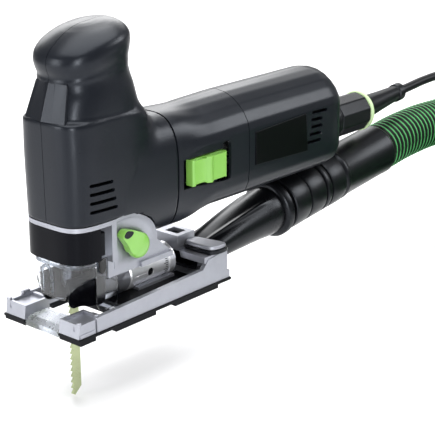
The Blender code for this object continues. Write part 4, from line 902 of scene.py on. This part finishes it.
def wall_strip(name, low, top, thick, front, depth, half, back, count):
    """An upright wall with a rounded front, drawn as part of an outline that reaches from front to depth."""
    outer, inner = [rounded((front + depth) / 2, 0, (depth - front) / 2 - grow, half - grow, 4.0, count)
                    for grow in (0.0, thick)]
    return cut(prism(name, outer, "Z", low, top), prism("inside", inner, "Z", low - 5, top + 5),
               block("rear", (back, -60, low - 10), (80, 60, top + 10)))


def band_strip(name, low, top, thick, back):
    """A strip that follows the front of the column."""
    return wall_strip(name, low, top, thick, COLUMN_FRONT + 0.5, 48.0, COLUMN_HALF - 0.7, back, 200)


def gear_case():
    """The cast case below the front housing, with its shelf, its front band and the two bars that carry the band."""
    side = [(10.3, CASE_LOW), (10.3, 66.2), (20.0, 67.6), (31.0, 67.6), (39.5, 65.2), (47.5, 60.6), (52.0, 55.6),
            (54.5, 48.6), (54.5, 44.5), (67.2, 33.7), (67.2, CASE_LOW)]
    case = prism("gear_case_skin", eased(side, (0, 1, 8, 9, 10)), "Y", -CASE_HALF, CASE_HALF)
    shelf = [(38.0, CASE_LOW), (67.2, CASE_LOW), (67.2, 33.7), (38.0, 33.7)]
    joined(case, prism("shelf", shelf, "Y", -24, 24), band_strip("band", 66.3, 69.1, 3.4, 14.4))
    for near, far in sides(21, 26.1):
        joined(case, block("bar", (10.3, near, 42.0), (14.4, far, 69.1)))
    cut(case, block("inside", (13.8, -18.5, 34.7), (51.0, 18.5, 90.0)))
    for near, far in sides(5.9, 9.0):
        joined(case, block("lug", (12.3, near, 22.0), (20.5, far, 31.3)))
    cut(case, rod("pin hole", 2.1, 40, (16.5, -20, 26), ACROSS, 24),
        rod("knob hole", 3.8, 20, (KNOB_X, -27, KNOB_Z), ACROSS, 32))
    placed(case, "head", "cast", "cast_aluminium", "gear_case")
    softened(case, 0.5, 40.0, 3)
    rim = [(15.6, 63.4), (20.0, 65.2), (31.0, 65.3), (38.5, 63.2), (45.6, 59.0), (49.9, 54.4), (52.2, 48.0),
           (52.2, 45.0), (62.0, 35.6), (41.0, 35.6), (33.0, 35.0), (15.6, 35.0)]
    panel = prism("gear_case_panel", eased(rim, (0, 8, 11)), "Y", -22.25, -21.9)
    cut(panel, rod("knob seat", 3.8, 20, (KNOB_X, -32, KNOB_Z), ACROSS, 32))
    placed(panel, "head", "cast", "cast_aluminium")


def bevel_barrel():
    """The barrel that the base swings on, its two lock hole bores with a black disc in each as painted shade, its
    scale, its nose and the saddle above it.
    """
    profile = [(0, 0), (0, 10.6), (0.9, 11.5), (35.6, 11.5), (36.0, 10.7), (36.9, 10.7), (37.3, 11.5), (42.4, 11.5),
               (43, 10.9), (43, 0)]
    barrel = turned("bevel_barrel_skin", profile, (BARREL_X, 0, TILT_Z), BACKWARD, 96)
    hole_shades, marks = [], []
    for back, angle in ((18.4, 184.0), (13.4, 232.0)):
        turn = math.radians(angle)
        outward = Vector((0, math.cos(turn), math.sin(turn)))
        start = Vector((BARREL_X + back, 0, TILT_Z)) + outward * 7.0
        cut(barrel, rod("hole", 2.7, 9, start, outward, 32))
        # A black disc just inside each bore: painted shade at the bottom of the hole.
        hole_shades.append(rod("hole shade disc", 2.65, 0.3, start + outward * 3.3, outward, 28))
    placed(softened(barrel, 0.25, 45.0, 2), "head", "barrel", "cast_aluminium", "bevel_barrel")
    for k in range(-6, 7):
        turn = math.radians(195.0 + 7.0 * k)
        long = 4.4 if k % 3 == 0 else 2.6
        outward = Vector((0, math.cos(turn), math.sin(turn)))
        across = Vector((0, -math.sin(turn), math.cos(turn)))
        corners = [Vector((x, 0, TILT_Z)) + outward * r + across * w
                   for x in (76.2 - long, 76.2) for r in (11.3, 11.58) for w in (-0.24, 0.24)]
        marks.append(piece_from("mark", [tuple(c) for c in corners],
                                [(0, 1, 3, 2), (4, 6, 7, 5), (0, 4, 5, 1), (2, 3, 7, 6), (0, 2, 6, 4), (1, 5, 7, 3)]))
    placed(together("barrel_lock_hole_shades", hole_shades), "head", "sole", "black_plastic")
    placed(together("barrel_scale_marks", marks), "head", "sole", "black_plastic")
    profile = [(0, 0), (0, 5.6), (1.2, 6.6), (6, 7.4), (12, 8.6), (17, 10.2), (20.2, 11.2), (20.6, 11.0), (20.6, 0)]
    placed(turned("barrel_nose", profile, (20.2, 0, TILT_Z), BACKWARD, 72), "head", "cast", "cast_aluminium")
    saddle = [(22.0, 30.5), (22.0, 26.0), (27.0, 20.5), (33.0, 17.5), (40.6, 16.5), (40.6, 30.5)]
    rib = prism("barrel_saddle", eased(saddle, (0, 5)), "Y", -9.6, 9.6)
    placed(softened(rib, 1.2, 40.0, 3), "head", "cast", "cast_aluminium")


def blade_cover():
    """The door in front of the blade clamp, with its hinge arm and eye."""
    cover = band_strip("blade_cover_skin", 45.5, 66.0, 2.2, 1.0)
    joined(cover, block("arm", (-0.5, -25.9, 48.5), (3.4, -23.2, 63.0)),
           rod("eye", 2.1, 14.5, (3.4, -23.8, 48.5), UPWARD, 40))
    placed(cover, "front_cover", "gloss", "black_plastic", "blade_cover")
    softened(cover, 0.45, 45.0, 3)


def chip_guard():
    """The clear guard that slides up behind the door, and the clear cheeks fixed behind it."""
    guard = wall_strip("chip_guard_skin", 20.0, 45.2, 1.5, -17.0, 40.0, 22.9, -0.5, 180)
    shape = [(-30, 60), (-30, 34.4), (-22.0, 34.4), (-18.5, 30.5), (-14.0, 26.4), (-11.0, 22.0), (-9.6, 20.2)]
    shape += [(-y, z) for y, z in shape[::-1]]
    combined(guard, prism("front view", shape, "X", -60, 60), "INTERSECT")
    rim = wall_strip("guard_rim", 41.2, 43.0, 1.3, -16.9, 40.0, 22.8, -0.6, 180)
    placed(softened(rim, 0.3, 45.0, 2), "clear_guard", "frosted", "clear_plastic")
    placed(guard, "clear_guard", "clear", "clear_plastic", "chip_guard")
    softened(guard, 0.4, 45.0, 2)
    loop = []
    for k in range(33):
        t = k / 32
        if t < 0.3:
            y, z = 9.2, 22.5 + 13.0 * t / 0.3
        elif t > 0.7:
            y, z = 0.8, 22.5 + 13.0 * (1 - t) / 0.3
        else:
            turn = math.pi * (t - 0.3) / 0.4
            y, z = 5.0 + 4.2 * math.cos(turn), 35.5 + 4.2 * math.sin(turn)
        loop.append((-15.8, y, z))
    rail = tube_skin("guard_finger_loop", smooth_path(loop, 0.8), 14, lambda run, turn: 1.1)
    placed(rail, "clear_guard", "frosted", "clear_plastic")
    shape = [(0.2, 43.5), (9.6, 43.5), (9.6, 29.8), (19.0, 29.8), (19.0, 12.0), (16.0, 10.2), (4.0, 10.2), (0.2, 14.5)]
    cheeks = [prism("cheek", eased(shape, (0, 1, 2, 3)), "Y", near, far) for near, far in sides(20.0, 21.4)]
    placed(together("clear_side_cheeks", cheeks), "head", "clear", "clear_plastic")


def dust_channel():
    """The black channel round the blade that the dust is drawn back through."""
    half = 12.4
    shape = [(-14.8, 34.0), (9.4, 34.0), (9.4, 29.9), (16.6, 29.9), (16.6, 12.0), (13.0, 9.6), (3.0, 10.5),
             (-4.0, 13.9), (-14.8, 13.9)]
    plates = [prism("plate", eased(shape, (0, 1, 2, 3)), "Y", near, far) for near, far in sides(10.8, half)]
    plates.append(block("roof", (7.4, -half, 28.0), (12.0, half, 30.0)))
    plates.append(block("back", (7.5, -half, 19.6), (9.4, half, 34.0)))
    plates += [block("cheek", (7.5, near, 11.0), (9.4, far, 20.0)) for near, far in sides(6.6, half)]
    placed(softened(together("dust_channel", plates), 0.5, 45.0, 3), "head", "gloss", "black_plastic")


def side_tab():
    """The clear tab on the left of the guard."""
    outline = [(2.0, 44.8), (9.2, 44.8), (9.2, 37.0), (5.6, 33.6), (2.0, 37.0)]
    tab = prism("guard_side_tab", eased(outline, (0, 1)), "Y", -22.8, -21.4)
    placed(softened(tab, 0.5, 45.0, 3), "head", "clear", "clear_plastic")


def low_shield():
    """The low clear strips on the base that lead the dust back."""
    section = [(0.0, 7.0), (3.4, 7.0), (3.4, 8.4), (1.4, 8.6), (1.2, 9.3), (0.0, 9.3)]
    walls = [prism("wall", [(side * (25.8 + u), z) for u, z in section], "X", 20.8, 43.0) for side in (-1, 1)]
    placed(softened(together("base_dust_shield", walls), 0.3, 40.0, 2), "base", "clear", "clear_plastic")


def base_table():
    """The cast base with its grooves and pockets, the small bosses on its prongs and the tray between its rails."""
    table = taken("base_table", "base_table_skin")
    for groove, pocket, slot in zip(sides(32.2, 40.0), sides(17.4, 30.6), sides(28.0, 29.6)):
        cut(table, block("groove", (-12.9, groove[0], 3.0), (-11.7, groove[1], 20.0)),
            block("pocket", (-24.0, pocket[0], 11.2), (-7.5, pocket[1], 20.0)),
            block("front slot", (-30.0, slot[0], 8.4), (-25.9, slot[1], 20.0)))
    placed(table, "base", "cast", "cast_aluminium", "base_table")
    softened(table, 0.45, 40.0, 3)
    knobs = [turned("boss", [(0, 0), (0, 1.7), (1.2, 1.7), (1.7, 1.2), (1.7, 0)], (x, y, 12.8), UPWARD, 28)
             for x, y in ((-9.5, 32.0), (-25.0, 31.6), (-9.0, -29.8), (-25.0, -31.4))]
    knobs.append(turned("peg", [(0, 0), (0, 1.4), (5.5, 1.4), (6.0, 0.9), (6.0, 0)], (-14.0, 31.8, 14.2), BACKWARD, 24))
    placed(together("prong_bosses", knobs), "base", "cast", "cast_aluminium")
    tray = block("dust_tray_skin", (20.6, -29.9, 7.0), (88.0, 29.9, 9.3))
    cut(tray, rod("trough", 11.9, 80, (15, 0, TILT_Z), BACKWARD, 64),
        block("cradle room", (45.6, -13.3, 0), (80.4, 13.3, 20)))
    placed(softened(tray, 0.3, 40.0, 2), "base", "sole", "black_plastic", "chip_tray")
    strips = []
    for strip, liner in zip(sides(23.4, 30.0), sides(28.6, 30.1)):
        strips.append(block("strip", (-4.6, strip[0], 6.9), (20.0, strip[1], 8.2)))
        strips.append(block("liner", (20.0, liner[0], 9.0), (86.0, liner[1], 13.2)))
    placed(together("tray_side_strips", strips), "base", "sole", "black_plastic")


def base_lock():
    """The clamp lever with its cap, and the dark lining of the clamp block's window."""
    outline = [(99.5 + 6.8 * math.cos(math.pi * k / 16), -14.0 + 6.8 * math.sin(math.pi * k / 16)) for k in range(17)]
    outline += [(92.7, -30.0), (95.7, -36.0), (110.3, -36.5), (109.3, -29.0)]
    smooth = eased(outline, range(17), 2)
    middle = (100.0, -22.0)
    inner = [(middle[0] + 0.88 * (x - middle[0]), middle[1] + 0.92 * (y - middle[1])) for x, y in smooth]
    placed(softened(prism("clamp_lever_skin", smooth, "Z", 24.6, 27.2), 0.5, 35.0, 2), "base_lock", "black",
           "cast_aluminium", "clamp_lever")
    placed(softened(prism("clamp_lever_cap", inner, "Z", 27.1, 30.1), 1.0, 35.0, 3), "base_lock", "cast",
           "cast_aluminium")
    placed(block("clamp_window_lining", (94.2, -2.8, 29.9), (102.8, 7.8, 30.35)), "base", "sole", "black_plastic")


def orbit_knob():
    """The turning knob with its finger lever, and a black patch on the lever's tip as painted shade."""
    profile = [(0, 0), (0.0, 3.0), (0.5, 6.0), (1.4, 7.6), (2.6, 8.3), (5.2, 8.4), (5.4, 8.2), (5.4, 3.5), (11.5, 3.5),
               (11.5, 0)]
    knob = turned("orbit_knob_skin", profile, (KNOB_X, KNOB_FACE, KNOB_Z), ACROSS, 72)
    lever = [(37.0, 54.0), (33.5, 46.0), (27.5, 42.4), (24.4, 44.6), (22.4, 49.6), (17.8, 55.6), (17.5, 57.2),
             (18.4, 58.6), (20.2, 60.1), (22.4, 60.4), (31.0, 57.4)]
    arm = prism("lever", eased(lever, (), 2), "Y", -28.6, -23.0)
    placed(softened(together("orbit_knob_skin", [knob, arm]), 1.3, 40.0, 3), "orbit_selector", "green",
           "green_plastic", "orbit_knob")
    # A black patch on the lever's tip: painted shade where the tip's recess lies in shadow.
    tip = [(18.2, 56.4), (18.9, 58.4), (20.6, 59.7), (22.6, 59.8), (27.5, 58.0), (24.5, 55.2), (21.0, 54.6)]
    tip_shade = prism("orbit_lever_tip_shade", eased(tip, (), 2), "Y", -28.9, -28.2)
    placed(softened(tip_shade, 0.2, 40.0, 2), "orbit_selector", "black", "black_plastic")


def on_slider():
    """The on-off slider: two hollowed finger pads with an upright ridge between them."""
    front, back = 82.0, 115.0
    outline = [(back, SWITCH_FACE + 5.5), (front, SWITCH_FACE + 5.5)]
    for k in range(49):
        x = front + 33.0 * k / 48
        ridge = 2.3 * math.exp(-((x - 97.5) / 2.6) ** 2)
        dish = 0.5 * math.sin(math.pi * min(1.0, (x - front) / 14.0)) * (x < 96.0)
        pads = 0.9 + 0.9 * smooth_step(97.5, 103.0, x) - dish
        ends = min(1.0, (x - front) / 1.0, (back - x) / 1.0)
        outline.append((x, SWITCH_FACE - (ridge + pads) * ends))
    slider = prism("on_slider_skin", outline, "Z", 74.0, 91.5)
    for x0, x1, z0, z1 in ((84.5, 94.5, 90.6, 95), (84.5, 94.5, 70, 74.9), (100.5, 113.0, 91.0, 95),
                           (100.5, 113.0, 70, 74.5)):
        cut(slider, block("scallop", (x0, SWITCH_FACE - 9, z0), (x1, SWITCH_FACE + 2.0, z1)))
    placed(softened(slider, 0.6, 35.0, 3), "switch_button", "green", "green_plastic", "on_slider")


def vent_shade_pads():
    """Black sheets behind the air slots, painted shade for the housing's inside lying in shadow, so that nothing inside
    shows through them.
    """
    # flat black pads: painted shade behind the front and rear air slots
    pads = [block("pad", (-10.0, side * 20.6 - 0.6, 73.0), (19.0, side * 20.6 + 0.6, 98.0)) for side in (-1, 1)]
    pads.append(block("pad", (196.0, -25.6, 74.0), (230.0, -24.6, 103.0)))
    pads.append(block("pad", (196.0, 24.6, 74.0), (214.5, 25.6, 103.0)))
    placed(together("vent_shade_pads", pads), "head", "sole", "black_plastic")


def nameplate():
    outline = [(144.5, 74.9), (203.0, 72.4), (200.0, 100.0), (144.5, 97.9)]
    placed(softened(prism("nameplate_skin", outline, "Y", -30.1, -29.3), 0.3, 35.0, 2), "head", "plate",
           "black_plastic", "nameplate")


# ------------------------------------------------------------------ round pieces of the suction line and the lead
def line_point(distance):
    """A place on the suction line's axis, from the end of the tube."""
    return Vector((TUBE_END_X, 0, TUBE_END_Z)) + Vector((1, 0, TUBE_RISE)).normalized() * distance


def extraction_tube():
    """The funnel: flat and wide at the base, round at the hose, with a raised ridge along each side of its back."""
    stations = [(100.0, 13.4, 16.0, 6.1, 3.4), (112.0, 13.4, 16.0, 6.2, 3.4), (128.0, 15.0, 15.5, 9.0, 2.8),
                (150.0, 18.0, 15.6, 12.6, 2.3), (175.0, 21.6, 16.8, 16.2, 2.0), (191.0, 23.6, 17.8, 17.8, 2.0),
                (203.0, 25.0, 17.8, 17.8, 2.0)]
    wall = 2.2
    rings = []
    for x, z, half_y, half_z, squareness in spread(stations, 60):
        high = 1.5 * smooth_step(108.0, 122.0, x) * (1 - smooth_step(172.0, 190.0, x))
        ring = []
        for y, w in rounded(0, z, half_y, half_z, squareness, 120):
            turn = math.degrees(math.atan2(w - z, y))
            ridge = high * sum(math.exp(-((turn - middle) / 6.5) ** 2) for middle in (52.0, 128.0))
            away = math.hypot(y, w - z)
            ring.append((x, y * (1 + ridge / away), z + (w - z) * (1 + ridge / away)))
        rings.append(ring)
    funnel = loft("extraction_tube_skin", rings, 50.0)
    flange = [(0, 0), (0, 18.8), (1.5, 21.2), (2.2, 21.6), (6.8, 21.6), (7.5, 21.0), (7.5, 0)]
    joined(funnel, turned("flange", flange, line_point(-9.5), (1, 0, TUBE_RISE), 96))
    inner = []
    for x, z, half_y, half_z, squareness in stations:
        inner.append([(x, y, w) for y, w in rounded(0, z, half_y - wall, half_z - wall, squareness, 48)])
    inner[0] = [(x - 6, y, z) for x, y, z in inner[0]]
    inner[-1] = [(x + 6, y, z) for x, y, z in inner[-1]]
    cut(funnel, loft("bore", inner))
    placed(softened(funnel, 0.4, 50.0, 2), "base", "black", "black_plastic", "extraction_tube")


def round_piece(node, profile, start, direction, steps, body, finish, slot):
    """A turned skin that stands for one of the frame's round solids."""
    placed(turned(node + "_skin", profile, start, direction, steps, 25.0), body, finish, slot, node)


def suction_fittings():
    """The coupling sleeve, the cuff behind it and the cuff at the far end of the hose."""
    along_line = (1, 0, TUBE_RISE)
    profile = [(0, 15.8), (0, 19.6), (0.6, 20.4), (3, 20.7), (15, 20.7), (17, 20.2), (17.3, 19.4), (18.7, 19.4),
               (19, 20.2), (21, 20.6), (34, 20.6), (36, 20.2), (36.3, 19.2), (37.7, 19.2), (38, 20.2), (39, 20.6),
               (42, 20.6), (43, 20.2), (43.3, 19.2), (44.7, 19.2), (45, 20.2), (47, 20.6), (59.5, 20.6), (61.4, 20.2),
               (62, 19.4), (62, 15.8)]
    round_piece("coupling_sleeve", profile, line_point(2.4), along_line, 112, "hose_lock_sleeve", "rubber",
                "black_rubber")
    profile = [(0, 15), (0, 18.9), (0.6, 19.4), (2.4, 20.3), (4.2, 20.4), (5.6, 19.9), (7, 19.6), (60, 19.6),
               (62, 19.9), (64.5, 19.9), (66, 19.2), (66, 15)]
    round_piece("hose_cuff", profile, line_point(64.7), along_line, 96, "base", "rubber", "black_rubber")
    profile = [(0, 14), (0, 18.6), (0.6, 19.0), (8, 19.0), (8.6, 18.2), (10, 18.2), (10.6, 19.0), (62, 19.0),
               (64, 18.0), (64, 14)]
    round_piece("hose_end_cuff", profile, (329.7, -380.0, -33.3), (-1, 0, 0), 96, "base", "rubber", "black_rubber")


def lead_fittings():
    """The socket, its pale ring, the ten-sided lock sleeve and the bend relief of the lead."""
    profile = [(0, 0), (0, 9.0), (7.3, 9.0), (7.3, 14.9), (8.0, 15.6), (14, 16.0), (16.4, 16.0), (17.6, 15.4),
               (18.4, 14.6), (21, 14.4), (21, 7.0), (57, 7.0), (57, 0)]
    round_piece("cable_socket", profile, (247, 0, LEAD_Z), BACKWARD, 96, "head", "black", "black_plastic")
    profile = [(0, 0), (0, 14.8), (0.6, 15.5), (1.2, 15.6), (2.4, 15.6), (3.0, 15.3), (3.4, 14.6), (3.4, 0)]
    round_piece("indicator_ring", profile, (304.3, 0, LEAD_Z), BACKWARD, 96, "head", "pale green",
                "pale_green_plastic")
    outline = [(15.2 * math.sin(math.pi * k / 5), LEAD_Z + 15.2 * math.cos(math.pi * k / 5)) for k in range(10)]
    sleeve = prism("lock_sleeve_skin", outline, "X", 268.3, 304.0)
    cut(sleeve, rod("bore", 7.3, 60, (260, 0, LEAD_Z), BACKWARD, 48))
    placed(softened(sleeve, 1.1, 25.0, 3), "lead_lock_sleeve", "black", "black_plastic", "lock_sleeve")
    rings = []
    for x, r in [(308.0, 9.6), (308.5, 10.4), (312.0, 10.0), (316.0, 9.2), (322, 8.7), (335.0, 7.6), (346, 6.9),
                 (356.6, 6.15), (357.0, 6.6), (357.4, 7.1), (363.4, 7.1), (364.0, 6.5)]:
        z = LEAD_Z + 4.8 * (x - 309) / 55
        rings.append([(x, y, w) for y, w in rounded(0, z, r, r, 2.0, 56)])
    placed(loft("bend_relief_skin", rings, 25.0), "head", "rubber", "black_rubber", "bend_relief")


# ------------------------------------------------------------------ frame pieces kept as they are
NODE_FINISHES = {
    "black": "electronics_module switch_body speed_dial cooling_fan roller_fork left_brush right_brush",
    "sole": "sole_runner",
    "rubber": "mains_plug",
    "cast": "bearing_plate clamp_block",
    "steel": "front_bearing rear_bearing stator fork_pin roller_pin guide_roller housing_screw_1 housing_screw_2 "
             "housing_screw_3 plunger gear_wheel crank_pin armature_shaft armature_core",
    "dark steel": "blade_clamp",
    "blade": "blade",
    "copper": "commutator",
    "bronze": "upper_bush lower_bush",
    "frosted": "splinter_guard",
}


def finish_frame_pieces():
    for finish, names in NODE_FINISHES.items():
        for name in names.split():
            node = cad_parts[name]
            node.data.materials.clear()
            node.data.materials.append(FINISHES[finish])
            softened(node, 0.35, 40.0, 2)


camera_and_light()
hose()
lead()
front_shells()
switch_housing()
motor_housing()
nameplate()
vent_shade_pads()
gear_case()
bevel_barrel()
blade_cover()
chip_guard()
dust_channel()
side_tab()
low_shield()
base_table()
base_lock()
orbit_knob()
on_slider()
extraction_tube()
suction_fittings()
lead_fittings()
finish_frame_pieces()
